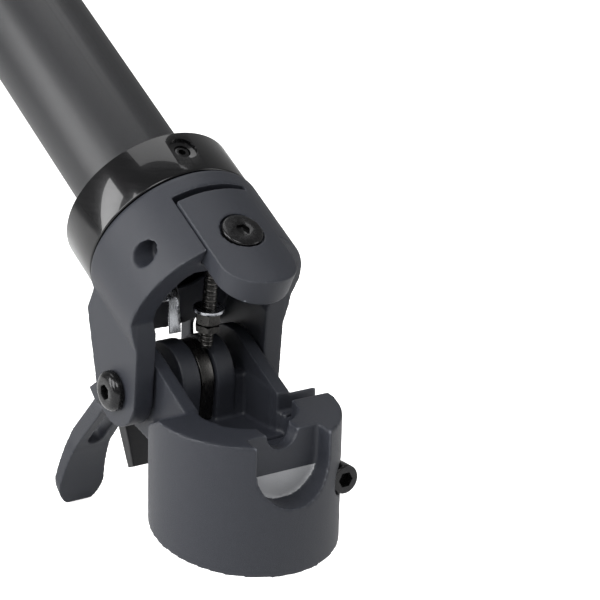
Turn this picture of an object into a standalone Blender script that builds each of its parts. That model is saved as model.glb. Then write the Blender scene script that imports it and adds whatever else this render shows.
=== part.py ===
"""Folding stem of an electric kick scooter: clamp, hinge, head, lever and tube.

Millimetres in the values below, metres in Blender. The clamp's axis is Z, its
latch side faces -Y and the stem folds back over +Y. Everything is drawn with
the stem locked upright, then the stem, the lever and the catch are turned on
their own axes to the half-folded position in which the part rests.
"""

import math

import bmesh
import bpy
from mathutils import Matrix, Vector

MM = 0.001
GAP = 0.3

# Angles of the rest position, degrees from locked and closed
FOLD_AT_REST = 61.0
LEVER_AT_REST = 75.5
CATCH_AT_REST = 112.0
ROD_PER_FOLD = 0.41

# Clamp
BASE_RADIUS = 33.0
RIM_HEIGHT = 44.0
RIM_SLOPE = math.radians(4.0)
FOOT_SLOPE = math.radians(9.0)
STEERER_RADIUS = 16.0
BORE_TOP = 24.0
CUP_FLOOR = 30.0
CUP_RADIUS = 17.5
CABLE_RADIUS = 6.0
SLIT_WIDTH = 1.6
SLIT_ANGLE = 93.0
SLIT_NOTCH_WIDTH = 6.4
SLIT_NOTCH_DEPTH = 7.0
PINCH_X = 25.2
PINCH_Z = 20.3
PINCH_RADIUS = 3.0
PINCH_HEAD_RADIUS = 5.2
PINCH_HEAD_HEIGHT = 6.5
PINCH_SEAT_Y = 17.7
SET_SCREW_ANGLE = 51.0
SET_SCREW_Z = 7.0
SET_SCREW_RADIUS = 2.2
SET_SCREW_LENGTH = 9.0

# Hinge
HINGE_Y = 36.5
HINGE_Z = 44.0
EAR_INNER = 22.4
EAR_OUTER = 30.0
EAR_RADIUS = 13.0
HINGE_PIN_RADIUS = 4.0
HINGE_HEAD_RADIUS = 7.2
HINGE_HEAD_HEIGHT = 3.8
WASHER_THICKNESS = 0.6
CHEEK_INNER = 16.0
CHEEK_RADIUS = 15.5
KNUCKLE_INNER = 3.3
KNUCKLE_OUTER = 10.8
KNUCKLE_RADIUS = 14.0
KNUCKLE_FOOT = 24.2
PLATE_HALF_THICKNESS = 2.6

# Head and latch
HEAD_TOP = 75.7
HEAD_ROOF = 64.0
CAVITY_RADIUS = 24.0
FRONT_WALL = 4.2
LATCH_HALF_WIDTH = 14.0
LATCH_TOP = 65.0
LATCH_THICKNESS = 10.0
LATCH_SCREW_Z = 45.0
LATCH_SCREW_RADIUS = 7.2
POCKET_DEPTH = 10.5
POCKET_BOTTOM = 18.6
TAB_RADIUS = 5.9
LATCH_GAP = 0.4
LATCH_TOP_GAP = 3.0

# Tube and collar
TUBE_RADIUS = 21.0
TUBE_WALL = 2.5
TUBE_TOP = 806.0
TUBE_FOOT = 66.0
COLLAR_RADIUS = 32.3
COLLAR_HEIGHT = 19.4
COLLAR_SCREW_RADIUS = 2.6
PLUG_CENTRE_Z = 150.0
PLUG_LENGTH = 26.0
PLUG_WIDTH = 12.4

# Draw rod
DRAW_Y = -17.5
DRAW_Z = 56.0
DRAW_PIN_RADIUS = 2.3
DRAW_EYE_RADIUS = 4.2
DRAW_LENGTH = 39.5
DRAW_TILT = 3.0
SIDE_HOLE_RADIUS = 4.25

# Lever and catch
LEVER_Y = 44.0
LEVER_Z = 62.0
LEVER_PIN_RADIUS = 2.5
LEVER_ROOT_RADIUS = 4.6
LEVER_LUG_INNER = 11.1
LEVER_LUG_OUTER = 12.9
ARM_INNER = 13.3
ARM_OUTER = 15.6
NECK_HALF_WIDTH = 7.6
BLADE_HALF_WIDTH = 9.8
BLADE_TIP_Z = 161.8
CATCH_Y = 47.6
CATCH_Z = 97.5
CATCH_HALF_WIDTH = 4.7
CATCH_PIN_RADIUS = 1.5
CATCH_REACH = 21.5

HINGE = Vector((0.0, HINGE_Y, HINGE_Z))
DRAW = Vector((0.0, DRAW_Y, DRAW_Z))
LEVER = Vector((0.0, LEVER_Y, LEVER_Z))
CATCH = Vector((0.0, CATCH_Y, CATCH_Z))


# ---------------------------------------------------------------- tools

def clear_scene():
    for obj in list(bpy.data.objects):
        bpy.data.objects.remove(obj, do_unlink=True)


def new_collection(name):
    collection = bpy.data.collections.new(name)
    bpy.context.scene.collection.children.link(collection)
    return collection


clear_scene()
PARTS = new_collection("scooter_folding_stem")
CUTTERS = new_collection("cutters")


def material(name, colour, roughness, metallic):
    found = bpy.data.materials.new(name)
    found.use_nodes = True
    shader = found.node_tree.nodes["Principled BSDF"]
    shader.inputs["Base Color"].default_value = (*colour, 1.0)
    shader.inputs["Roughness"].default_value = roughness
    shader.inputs["Metallic"].default_value = metallic
    return found


def own_material(obj, kind):
    looks = {
        "casting": ((0.045, 0.052, 0.062), 0.55, 0.0),
        "anodised": ((0.02, 0.021, 0.023), 0.42, 0.6),
        "gloss_black": ((0.008, 0.008, 0.009), 0.15, 0.4),
        "black_steel": ((0.03, 0.03, 0.032), 0.28, 0.9),
        "steel": ((0.16, 0.16, 0.165), 0.35, 1.0),
        "plastic": ((0.012, 0.012, 0.013), 0.45, 0.0),
    }
    obj.data.materials.clear()
    obj.data.materials.append(material(obj.name + "_" + kind, *looks[kind]))


def move_to(obj, collection):
    for holder in list(obj.users_collection):
        holder.objects.unlink(obj)
    collection.objects.link(obj)


def smooth(obj, angle=35.0):
    obj.data.shade_smooth()
    obj.data.set_sharp_from_angle(angle=math.radians(angle))


def as_mesh(obj, name):
    """The evaluated shape of a curve as a welded mesh object."""
    graph = bpy.context.evaluated_depsgraph_get()
    mesh = bpy.data.meshes.new_from_object(obj.evaluated_get(graph))
    place = obj.matrix_world.copy()
    bpy.data.objects.remove(obj, do_unlink=True)
    shape = bpy.data.objects.new(name, mesh)
    shape.matrix_world = place
    bpy.context.scene.collection.objects.link(shape)
    weld(shape)
    return shape


def weld(obj):
    shape = bmesh.new()
    shape.from_mesh(obj.data)
    bmesh.ops.remove_doubles(shape, verts=shape.verts, dist=1e-6)
    bmesh.ops.recalc_face_normals(shape, faces=shape.faces)
    shape.to_mesh(obj.data)
    shape.free()


def cylinder(name, axis, radius, start, end, centre=(0.0, 0.0, 0.0), sides=32):
    """A cylinder along X, Y or Z from start to end, its other two places in centre."""
    turn = {"X": (0, math.pi / 2, 0), "Y": (math.pi / 2, 0, 0), "Z": (0, 0, 0)}[axis]
    place = Vector(centre)
    place["XYZ".index(axis)] = (start + end) / 2
    bpy.ops.mesh.primitive_cylinder_add(
        vertices=sides, radius=radius * MM, depth=abs(end - start) * MM,
        location=place * MM, rotation=turn)
    obj = bpy.context.object
    obj.name = name
    return obj


def box(name, low, high):
    low, high = Vector(low), Vector(high)
    bpy.ops.mesh.primitive_cube_add(size=1.0, location=(low + high) / 2 * MM)
    obj = bpy.context.object
    obj.name = name
    obj.data.transform(Matrix.Diagonal((*((high - low) * MM), 1.0)))
    return obj


PLANES = {
    "YZ": Matrix(((0, 0, 1, 0), (1, 0, 0, 0), (0, 1, 0, 0), (0, 0, 0, 1))),
    "XZ": Matrix(((1, 0, 0, 0), (0, 0, -1, 0), (0, 1, 0, 0), (0, 0, 0, 1))),
}


def prism(name, plane, outline, start, end):
    """A flat outline in YZ or XZ, thick from start to end along the third axis."""
    curve = bpy.data.curves.new(name, "CURVE")
    curve.dimensions = "2D"
    curve.fill_mode = "BOTH"
    curve.extrude = abs(end - start) / 2 * MM
    spline = curve.splines.new("POLY")
    spline.points.add(len(outline) - 1)
    for point, (across, up) in zip(spline.points, outline):
        point.co = (across * MM, up * MM, 0.0, 1.0)
    spline.use_cyclic_u = True
    obj = bpy.data.objects.new(name, curve)
    bpy.context.scene.collection.objects.link(obj)
    middle = (start + end) / 2 * MM
    shift = (middle, 0, 0) if plane == "YZ" else (0, middle, 0)
    obj.matrix_world = Matrix.Translation(shift) @ PLANES[plane]
    bpy.context.view_layer.update()
    return as_mesh(obj, name)


def arc(centre, radius, first, last, steps=12):
    """Points of an arc, angles in degrees, counter-clockwise when last > first."""
    points = []
    for step in range(steps + 1):
        angle = math.radians(first + (last - first) * step / steps)
        points.append((centre[0] + radius * math.cos(angle), centre[1] + radius * math.sin(angle)))
    return points


def combine(target, tool, operation):
    """Cuts, joins or meets target with tool, which follows target from then on."""
    bpy.context.view_layer.update()
    step = target.modifiers.new(operation.lower() + "_" + tool.name, "BOOLEAN")
    step.operation = operation
    step.solver = "EXACT"
    step.object = tool
    tool.parent = target
    tool.matrix_parent_inverse = target.matrix_world.inverted()
    tool.hide_render = True
    tool.display_type = "WIRE"
    move_to(tool, CUTTERS)
    return target


def cut(target, tool):
    return combine(target, tool, "DIFFERENCE")


def join(target, tool):
    return combine(target, tool, "UNION")


def meet(target, tool):
    return combine(target, tool, "INTERSECT")


def mount(obj, kind, axis_empty=None):
    """Files a finished sub-part, gives it its look and hangs it on its axis."""
    move_to(obj, PARTS)
    own_material(obj, kind)
    if axis_empty is not None:
        bpy.context.view_layer.update()
        obj.parent = axis_empty
        obj.matrix_parent_inverse = axis_empty.matrix_world.inverted()
    return obj


def axis_empty(name, place, parent=None):
    empty = bpy.data.objects.new(name, None)
    empty.empty_display_size = 0.01
    empty.location = Vector(place) * MM
    PARTS.objects.link(empty)
    bpy.context.view_layer.update()
    if parent is not None:
        empty.parent = parent
        empty.matrix_parent_inverse = parent.matrix_world.inverted()
    return empty


def around(angle, radius, z):
    """A place on a circle about Z; 0 degrees is -Y and 90 degrees is +X."""
    turn = math.radians(angle)
    return Vector((radius * math.sin(turn), -radius * math.cos(turn), z))


def rim_z(y):
    return RIM_HEIGHT + math.tan(RIM_SLOPE) * y


def tangent_point(origin, centre, radius, side):
    """Where the line from origin touches a circle; side is +1 above, -1 below."""
    away = Vector((centre[0] - origin[0], centre[1] - origin[1]))
    spread = math.asin(radius / away.length)
    heading = math.atan2(away.y, away.x) + side * spread
    reach = math.sqrt(away.length ** 2 - radius ** 2)
    return (origin[0] + reach * math.cos(heading), origin[1] + reach * math.sin(heading))


def angle_of(point, centre):
    return math.degrees(math.atan2(point[1] - centre[1], point[0] - centre[0]))


HINGE_YZ = (HINGE_Y, HINGE_Z)
EAR_START_Y = 4.0
EAR_START = (EAR_START_Y, rim_z(EAR_START_Y))


# ---------------------------------------------------------------- clamp

def cheek_outline():
    """The clamp's hinge cheek, rising from the rim to a round end about the pin."""
    foot = (EAR_START_Y, rim_z(EAR_START_Y) - 0.5)
    top = tangent_point(foot, HINGE_YZ, CHEEK_RADIUS, 1)
    start = angle_of(top, HINGE_YZ)
    low_corner = (BASE_RADIUS - 5.0, CUP_FLOOR - 4.0)
    return [foot, *arc(HINGE_YZ, CHEEK_RADIUS, start, -80, 20), low_corner, (foot[0], CUP_FLOOR - 4.0)]


def knuckle_outline():
    """A plain round lug about the hinge pin, standing on the clamp's floor."""
    low = CUP_FLOOR - 1.0
    return [(KNUCKLE_FOOT, low), (BASE_RADIUS - 1.0, low), *arc(HINGE_YZ, KNUCKLE_RADIUS, -60, 186, 24)]


def clamp_base():
    base = cylinder("clamp_base", "Z", BASE_RADIUS, -8.0, RIM_HEIGHT + 8.0, sides=64)
    size = 90.0
    above = box("rim_cut", (-size, -size, 0), (size, size, 40))
    above.rotation_euler.x = RIM_SLOPE
    above.location = Vector((0, -20 * math.sin(RIM_SLOPE), RIM_HEIGHT + 20 * math.cos(RIM_SLOPE))) * MM
    cut(base, above)
    below = box("foot_cut", (-size, -size, -40), (size, size, 0))
    below.rotation_euler.x = FOOT_SLOPE
    below.location = Vector((0, 20 * math.sin(FOOT_SLOPE), -20 * math.cos(FOOT_SLOPE))) * MM
    cut(base, below)
    cut(base, cylinder("steerer_bore", "Z", STEERER_RADIUS, -20.0, BORE_TOP, sides=64))
    cut(base, cylinder("cable_bore", "Z", CABLE_RADIUS, BORE_TOP - 5.0, CUP_FLOOR + 5.0))
    cut(base, cylinder("cup", "Z", CUP_RADIUS, CUP_FLOOR, RIM_HEIGHT + 20.0, sides=64))
    rear_room = 15.6
    cut(base, box("rear_room", (-rear_room, 0, CUP_FLOOR), (rear_room, KNUCKLE_FOOT, 60)))
    cheek = cheek_outline()
    knuckle = knuckle_outline()
    for side in (-1, 1):
        join(base, prism(f"cheek_{side + 2}", "YZ", cheek, side * CHEEK_INNER, side * (EAR_INNER - 1.2)))
        join(base, prism(f"knuckle_{side + 2}", "YZ", knuckle, side * KNUCKLE_INNER, side * KNUCKLE_OUTER))
    cut(base, box("plate_slot", (-KNUCKLE_INNER, CUP_RADIUS - 6, CUP_FLOOR), (KNUCKLE_INNER, 60, 80)))
    ear_touch = tangent_point(EAR_START, HINGE_YZ, EAR_RADIUS + 0.6, -1)
    room = [EAR_START, ear_touch, *arc(HINGE_YZ, EAR_RADIUS + 0.6, angle_of(ear_touch, HINGE_YZ), 0, 8)]
    room += [(HINGE_Y + 20, HINGE_Z), (HINGE_Y + 20, 70), (EAR_START_Y, 70)]
    room = [(y, z - 0.4) for y, z in room]
    for side in (-1, 1):
        cut(base, prism(f"ear_room_{side + 2}", "YZ", room, side * (EAR_INNER - 0.4), side * 45.0))
    cut_latch_pocket(base)
    cut_pinch(base)
    hinge_hole = HINGE_PIN_RADIUS + GAP
    cut(base, cylinder("hinge_bore", "X", hinge_hole, -40, 40, (0, HINGE_Y, HINGE_Z)))
    smooth(base)
    return mount(base, "casting")


def u_outline(half_width, bottom, top):
    """A slot open at the top with a half-round lower end, in XZ."""
    centre = (0.0, bottom + half_width)
    return [(half_width, top), (-half_width, top), *arc(centre, half_width, 180, 360, 24)]


def cut_latch_pocket(base):
    outline = u_outline(LATCH_HALF_WIDTH + LATCH_GAP, POCKET_BOTTOM, 70.0)
    back = -(BASE_RADIUS - POCKET_DEPTH)
    cut(base, prism("latch_pocket", "XZ", outline, -45.0, back))
    notch_z = rim_z(back)
    cut(base, cylinder("tab_notch", "Y", TAB_RADIUS + GAP, back - 2.0, -CUP_RADIUS + 4.0, (0, 0, notch_z), 48))


def cut_pinch(base):
    turn = math.radians(SLIT_ANGLE - 90.0)
    slit = box("slit", (0, -SLIT_WIDTH / 2, -20), (45, SLIT_WIDTH / 2, 60))
    slit.data.transform(Matrix.Translation(slit.location))
    slit.location = (0, 0, 0)
    slit.rotation_euler.z = turn
    cut(base, slit)
    notch_top = RIM_HEIGHT + 10.0
    cut(base, box("slit_notch", (CUP_RADIUS - 5, -2, rim_z(0) - SLIT_NOTCH_DEPTH),
                  (45, -2 + SLIT_NOTCH_WIDTH, notch_top)))
    centre = (PINCH_X, 0, PINCH_Z)
    cut(base, cylinder("pinch_bore", "Y", PINCH_RADIUS + GAP, -40, 40, centre))
    cut(base, cylinder("pinch_head_seat", "Y", PINCH_HEAD_RADIUS + 0.8, -45, -PINCH_SEAT_Y, centre))
    cut(base, cylinder("pinch_nut_seat", "Y", PINCH_HEAD_RADIUS + 0.6, PINCH_SEAT_Y + 1.5, 45, centre))
    bore = cylinder("set_screw_bore", "Z", SET_SCREW_RADIUS + GAP, 0, 30)
    point_outwards(bore, SET_SCREW_ANGLE, STEERER_RADIUS - 3.0, SET_SCREW_Z, 30)
    cut(base, bore)


def point_outwards(obj, angle, start, z, length):
    """Lays a Z cylinder on its side so that it runs outwards from the Z axis."""
    heading = around(angle, 1.0, 0.0)
    obj.rotation_euler = heading.to_track_quat("Z", "Y").to_euler()
    obj.location = (heading * (start + length / 2) + Vector((0, 0, z))) * MM


def hexagon_socket(name, axis, across, start, end, centre):
    return cylinder(name, axis, across / math.sqrt(3), start, end, centre, sides=6)


def pinch_hardware():
    centre = (PINCH_X, 0, PINCH_Z)
    head_end = -PINCH_SEAT_Y - GAP - PINCH_HEAD_HEIGHT
    bolt = cylinder("pinch_bolt", "Y", PINCH_HEAD_RADIUS, head_end, -PINCH_SEAT_Y - GAP, centre, 40)
    join(bolt, cylinder("pinch_shank", "Y", PINCH_RADIUS, -PINCH_SEAT_Y - 1.0, 25.5, centre))
    cut(bolt, hexagon_socket("pinch_socket", "Y", 5.0, head_end - 2, head_end + 3.2, centre))
    smooth(bolt)
    mount(bolt, "black_steel")
    nut_start = PINCH_SEAT_Y + 1.5 + GAP
    nut = cylinder("pinch_nut", "Y", PINCH_HEAD_RADIUS, nut_start, nut_start + 5.0, centre, 6)
    cut(nut, cylinder("pinch_nut_thread", "Y", PINCH_RADIUS + GAP, 0, 50, centre))
    mount(nut, "black_steel")
    screw = cylinder("set_screw", "Z", SET_SCREW_RADIUS, 0, SET_SCREW_LENGTH, sides=24)
    point_outwards(screw, SET_SCREW_ANGLE, STEERER_RADIUS + 4.5, SET_SCREW_Z, SET_SCREW_LENGTH)
    socket = cylinder("set_screw_socket", "Z", 1.2, 0, 3.0, sides=6)
    point_outwards(socket, SET_SCREW_ANGLE, STEERER_RADIUS + 4.5 + SET_SCREW_LENGTH - 2.0, SET_SCREW_Z, 3.0)
    cut(screw, socket)
    smooth(screw)
    mount(screw, "black_steel")


def hinge_hardware():
    centre = (0, HINGE_Y, HINGE_Z)
    for name, side in (("left", -1), ("right", 1)):
        seat = side * (EAR_OUTER + GAP)
        crown = seat + side * HINGE_HEAD_HEIGHT
        bolt = cylinder(f"hinge_bolt_{name}", "X", HINGE_HEAD_RADIUS, seat, crown, centre, 40)
        dome = bolt.modifiers.new("dome", "BEVEL")
        dome.width = 2.6 * MM
        dome.segments = 4
        dome.limit_method = "ANGLE"
        join(bolt, cylinder(f"hinge_shank_{name}", "X", HINGE_PIN_RADIUS, seat + side, side * 12.2, centre))
        cut(bolt, hexagon_socket(f"hinge_socket_{name}", "X", 5.0, crown + side * 2, crown - side * 2.6, centre))
        smooth(bolt, 30)
        mount(bolt, "black_steel")
        washer_end = side * (EAR_INNER - GAP)
        washer = cylinder(f"hinge_washer_{name}", "X", 9.0, washer_end,
                          washer_end - side * WASHER_THICKNESS, centre)
        cut(washer, cylinder(f"washer_bore_{name}", "X", HINGE_PIN_RADIUS + GAP, -40, 40, centre))
        smooth(washer)
        mount(washer, "steel")
    pin = cylinder("centre_pin", "X", HINGE_PIN_RADIUS, -11.6, 11.6, centre)
    smooth(pin)
    mount(pin, "steel")


def strike_plate():
    """Steel disc plate between the knuckles, and the small pin through its nose."""
    low = CUP_FLOOR + 1.0
    radius = KNUCKLE_RADIUS - 1.0
    outline = [(KNUCKLE_FOOT + 1.0, low), (BASE_RADIUS - 4.0, low), *arc(HINGE_YZ, radius, -50, 186, 24)]
    plate = prism("strike_plate", "YZ", outline, -PLATE_HALF_THICKNESS, PLATE_HALF_THICKNESS)
    cut(plate, cylinder("strike_bore", "X", HINGE_PIN_RADIUS + GAP, -9, 9, (0, HINGE_Y, HINGE_Z)))
    angle = math.radians(146)
    reach = radius - 2.8
    spot = (0, HINGE_Y + reach * math.cos(angle), HINGE_Z + reach * math.sin(angle))
    cut(plate, cylinder("nose_bore", "X", 1.9, -9, 9, spot, 24))
    smooth(plate)
    mount(plate, "steel")
    pin = cylinder("nose_pin", "X", 1.6, -3.0, 3.0, spot, 24)
    smooth(pin)
    mount(pin, "steel")


# ---------------------------------------------------------------- head

def ear_outline():
    low = tangent_point(EAR_START, HINGE_YZ, EAR_RADIUS, -1)
    shoulder = (24.0, HEAD_TOP - 3.0)
    high = tangent_point(shoulder, HINGE_YZ, EAR_RADIUS, 1)
    curve = arc(HINGE_YZ, EAR_RADIUS, angle_of(low, HINGE_YZ), angle_of(high, HINGE_YZ), 20)
    return [EAR_START, *curve, shoulder, (0.0, HEAD_TOP - 3.0), (0.0, EAR_START[1])]


def hinge_head(stem):
    head = cylinder("hinge_head", "Z", BASE_RADIUS, RIM_HEIGHT - 8.0, HEAD_TOP, sides=64)
    round_top = head.modifiers.new("shoulder", "BEVEL")
    round_top.width = 2.2 * MM
    round_top.segments = 3
    round_top.limit_method = "ANGLE"
    below = [(-60, 0), (-60, rim_z(-60)), EAR_START]
    below += [tangent_point(EAR_START, HINGE_YZ, EAR_RADIUS, -1), (HINGE_Y, 0)]
    below = [(y, z + 0.2) for y, z in below]
    cut(head, prism("parting", "YZ", below, -45, 45))
    for side in (-1, 1):
        join(head, prism(f"ear_{side + 2}", "YZ", ear_outline(), side * (EAR_INNER - 4), side * EAR_OUTER))
    cut_cavity(head)
    lug = [(26.0, HEAD_TOP - 2.0), (26.0, HEAD_ROOF + 0.6), (34.0, HEAD_ROOF + 0.6)]
    lug += arc((LEVER_Y, LEVER_Z), LEVER_ROOT_RADIUS - 0.3, 190, 410, 16)
    lug += [(BASE_RADIUS - 2.0, HEAD_TOP - 2.0)]
    for side in (-1, 1):
        join(head, prism(f"lever_lug_{side + 2}", "YZ", lug, side * LEVER_LUG_INNER, side * LEVER_LUG_OUTER))
    cut(head, cylinder("lever_bore", "X", LEVER_PIN_RADIUS + GAP, -14, 14, (0, LEVER_Y, LEVER_Z)))
    cut_latch_seat(head)
    cut(head, cylinder("hinge_eye", "X", HINGE_PIN_RADIUS + GAP, -45, 45, (0, HINGE_Y, HINGE_Z)))
    cut(head, cylinder("tube_socket", "Z", TUBE_RADIUS + GAP, TUBE_FOOT - GAP, 90, sides=64))
    cut(head, cylinder("cable_way", "Z", 13.0, HEAD_ROOF - 5, TUBE_FOOT + 5, sides=48))
    cut_draw_pin_holes(head)
    smooth(head)
    return mount(head, "casting", stem)


def cut_cavity(head):
    back = -(BASE_RADIUS - POCKET_DEPTH) + FRONT_WALL
    hollow = cylinder("cavity", "Z", CAVITY_RADIUS, 20.0, HEAD_ROOF, sides=64)
    meet(hollow, box("cavity_front", (-40, back, 0), (40, 40, 90)))
    cut(head, hollow)
    cut(head, box("cavity_rear", (-EAR_INNER, 0, 20), (EAR_INNER, 80, HEAD_ROOF)))
    for side in (-1, 1):
        low = (side * (ARM_INNER - 0.4), 30.0, HEAD_ROOF - 2)
        high = (side * (ARM_OUTER + 0.4), 80, 90)
        cut(head, box(f"arm_room_{side + 2}", *ordered(low, high)))


def ordered(first, second):
    pairs = list(zip(first, second))
    return [min(pair) for pair in pairs], [max(pair) for pair in pairs]


def cut_latch_seat(head):
    back = -(BASE_RADIUS - POCKET_DEPTH)
    half = LATCH_HALF_WIDTH + LATCH_GAP
    top = LATCH_TOP + LATCH_TOP_GAP
    cut(head, box("latch_seat", (-half, -60, 0), (half, back, top)))
    tab = cylinder("tab", "Y", TAB_RADIUS, back, back + FRONT_WALL, (0, 0, rim_z(back)), 48)
    join(head, tab)
    cut(head, cylinder("latch_thread", "Y", 3.3, -60, back + FRONT_WALL + 5, (0, 0, LATCH_SCREW_Z)))


def cut_draw_pin_holes(head):
    centre = (0, DRAW_Y, DRAW_Z)
    cut(head, cylinder("draw_bore", "X", DRAW_PIN_RADIUS + GAP, -45, 45, centre))
    for side in (-1, 1):
        cut(head, cylinder(f"side_hole_{side + 2}", "X", SIDE_HOLE_RADIUS, side * 21.5, side * 45, centre))
    half = PLATE_HALF_THICKNESS + 0.5
    reach = DRAW_EYE_RADIUS + 0.8
    cut(head, box("eye_room", (-half, -30, DRAW_Z - reach), (half, DRAW_Y + 5, DRAW_Z + reach)))


def latch_plate(stem):
    """The curved front plate whose rounded tongue drops into the clamp's pocket."""
    outline = u_outline(LATCH_HALF_WIDTH, POCKET_BOTTOM + 1.4, LATCH_TOP)
    back = -(BASE_RADIUS - LATCH_THICKNESS)
    plate = prism("latch_plate", "XZ", outline, -BASE_RADIUS - 3, back)
    meet(plate, cylinder("plate_face", "Z", BASE_RADIUS + 0.6, 0, 90, sides=64))
    seat = -BASE_RADIUS + 1.9
    cut(plate, cylinder("screw_seat", "Y", LATCH_SCREW_RADIUS + 0.6, -50, seat, (0, 0, LATCH_SCREW_Z), 40))
    cut(plate, cylinder("screw_way", "Y", 3.3, -50, 0, (0, 0, LATCH_SCREW_Z)))
    smooth(plate)
    mount(plate, "casting", stem)
    screw = cylinder("latch_screw", "Y", LATCH_SCREW_RADIUS, seat - GAP - 2.4, seat - GAP,
                     (0, 0, LATCH_SCREW_Z), 40)
    join(screw, cylinder("latch_shank", "Y", 3.0, seat - 1.5, back + 5.0, (0, 0, LATCH_SCREW_Z)))
    cut(screw, cylinder("latch_recess", "Y", 2.6, seat - 6, seat - GAP - 0.9, (0, 0, LATCH_SCREW_Z), 12))
    smooth(screw)
    mount(screw, "black_steel", stem)


def lock_collar(stem):
    low = HEAD_TOP + 0.4
    high = low + COLLAR_HEIGHT
    collar = cylinder("lock_collar", "Z", COLLAR_RADIUS, low, high, sides=64)
    edge = collar.modifiers.new("edge", "BEVEL")
    edge.width = 0.8 * MM
    edge.segments = 2
    edge.limit_method = "ANGLE"
    cut(collar, cylinder("collar_bore", "Z", TUBE_RADIUS + GAP, 40, 140, sides=64))
    screw_z = (low + high) / 2 + 1.5
    outer = -COLLAR_RADIUS
    cut(collar, cylinder("collar_thread", "Y", COLLAR_SCREW_RADIUS + GAP, -50, -10, (0, 0, screw_z)))
    cut(collar, cylinder("collar_recess", "Y", 5.0, -50, outer + 1.4, (0, 0, screw_z)))
    smooth(collar)
    mount(collar, "gloss_black", stem)
    screw = cylinder("collar_screw", "Y", COLLAR_SCREW_RADIUS, outer + 1.8, outer + 9.8, (0, 0, screw_z), 24)
    cut(screw, hexagon_socket("collar_socket", "Y", 2.5, outer, outer + 4.0, (0, 0, screw_z)))
    smooth(screw)
    mount(screw, "black_steel", stem)


def stadium(across, up, width, length, steps=10):
    """A round-ended slot standing upright, centred on across and up."""
    half = width / 2
    rise = (length - width) / 2
    upper = arc((across, up + rise), half, 0, 180, steps)
    return upper + arc((across, up - rise), half, 180, 360, steps)


def stem_tube(stem):
    tube = cylinder("stem_tube", "Z", TUBE_RADIUS, TUBE_FOOT, TUBE_TOP, sides=64)
    inner = TUBE_RADIUS - TUBE_WALL
    cut(tube, cylinder("tube_bore", "Z", inner, TUBE_FOOT - 10, TUBE_TOP + 10, sides=64))
    for number, (drop, radius) in enumerate(((8.5, 5.2), (37.5, 5.2))):
        spot = (0, 0, TUBE_TOP - drop)
        cut(tube, cylinder(f"clamp_hole_{number}", "Y", radius, -40, 0, spot))
    cut(tube, prism("cable_window", "XZ", stadium(0, TUBE_TOP - 109, 17.0, 24.0), -40, 0))
    cut(tube, prism("plug_window", "YZ", stadium(0, PLUG_CENTRE_Z, PLUG_WIDTH, PLUG_LENGTH), 0, 40))
    smooth(tube)
    mount(tube, "anodised", stem)
    plug = prism("tube_plug", "YZ", stadium(0, PLUG_CENTRE_Z, PLUG_WIDTH - 2 * GAP, PLUG_LENGTH - 2 * GAP),
                 inner - 2.5, 40)
    meet(plug, cylinder("plug_face", "Z", TUBE_RADIUS - 0.2, 100, 200, sides=64))
    smooth(plug)
    mount(plug, "plastic", stem)


def draw_rod(stem, rod_axis):
    """The pin across the head and the threaded rod that swings on it."""
    centre = (0, DRAW_Y, DRAW_Z)
    pin = cylinder("draw_pin", "X", DRAW_PIN_RADIUS, -21.0, 21.0, centre, 24)
    smooth(pin)
    mount(pin, "steel", stem)
    rod = cylinder("draw_rod", "X", DRAW_EYE_RADIUS, -PLATE_HALF_THICKNESS, PLATE_HALF_THICKNESS, centre)
    along = DRAW_Y + DRAW_EYE_RADIUS - 1.0
    join(rod, tilted(cylinder("rod_stem", "Y", 2.3, along, DRAW_Y + DRAW_LENGTH, centre, 24)))
    cut(rod, cylinder("eye_bore", "X", DRAW_PIN_RADIUS + GAP, -9, 9, centre, 24))
    smooth(rod)
    mount(rod, "steel", rod_axis)
    pieces = (("draw_nut", 4.6, 6, 26.0, 30.0), ("draw_locknut", 4.6, 6, 30.5, 33.0),
              ("draw_washer", 5.4, 32, 24.4, 25.6))
    for name, radius, sides, start, end in pieces:
        piece = cylinder(name, "Y", radius, DRAW_Y + start, DRAW_Y + end, centre, sides)
        tilted(piece)
        cut(piece, tilted(cylinder(name + "_bore", "Y", 2.6, DRAW_Y, DRAW_Y + 60, centre, 24)))
        mount(piece, "steel", rod_axis)


def tilted(obj):
    """Turns a piece of the rod up about the draw pin."""
    turn = Matrix.Translation(DRAW * MM) @ Matrix.Rotation(math.radians(DRAW_TILT), 4, "X")
    bpy.context.view_layer.update()
    obj.matrix_world = turn @ Matrix.Translation(-DRAW * MM) @ obj.matrix_world
    return obj


def strip_outline(points, shift):
    """A thin bent strip: the points and the same points moved by its thickness."""
    return [*points, *[(y + shift[0], z + shift[1]) for y, z in reversed(points)]]


def release_leaf(stem):
    """A bent sheet-metal leaf that hangs from the head's roof beside a knuckle."""
    shift = (0.55, 0.7)
    bend = (5.6, 53.2)
    wide = [(-1.0, HEAD_ROOF - GAP - shift[1]), (2.6, 57.5), bend]
    leaf = prism("release_leaf", "YZ", strip_outline(wide, shift), -16.0, -8.0)
    narrow = [(4.8, 54.2), bend, (15.4, 46.6)]
    join(leaf, prism("leaf_tongue", "YZ", strip_outline(narrow, shift), -12.6, -8.2))
    mount(leaf, "steel", stem)


# ---------------------------------------------------------------- lever

LEVER_BACK = ((48.0, 68.0), (47.2, 80.0), (45.2, 92.0), (44.0, 100.0), (44.0, 128.0), (45.0, 136.0),
              (47.2, 144.0), (50.4, 151.5), (55.0, 160.5))
LEVER_FRONT = ((53.6, 162.4), (51.5, BLADE_TIP_Z), (46.0, 153.0), (41.8, 144.0), (38.8, 135.0), (37.6, 126.0),
               (37.6, 103.0), (38.6, 92.0), (40.6, 80.0), (40.2, 68.0))


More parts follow.
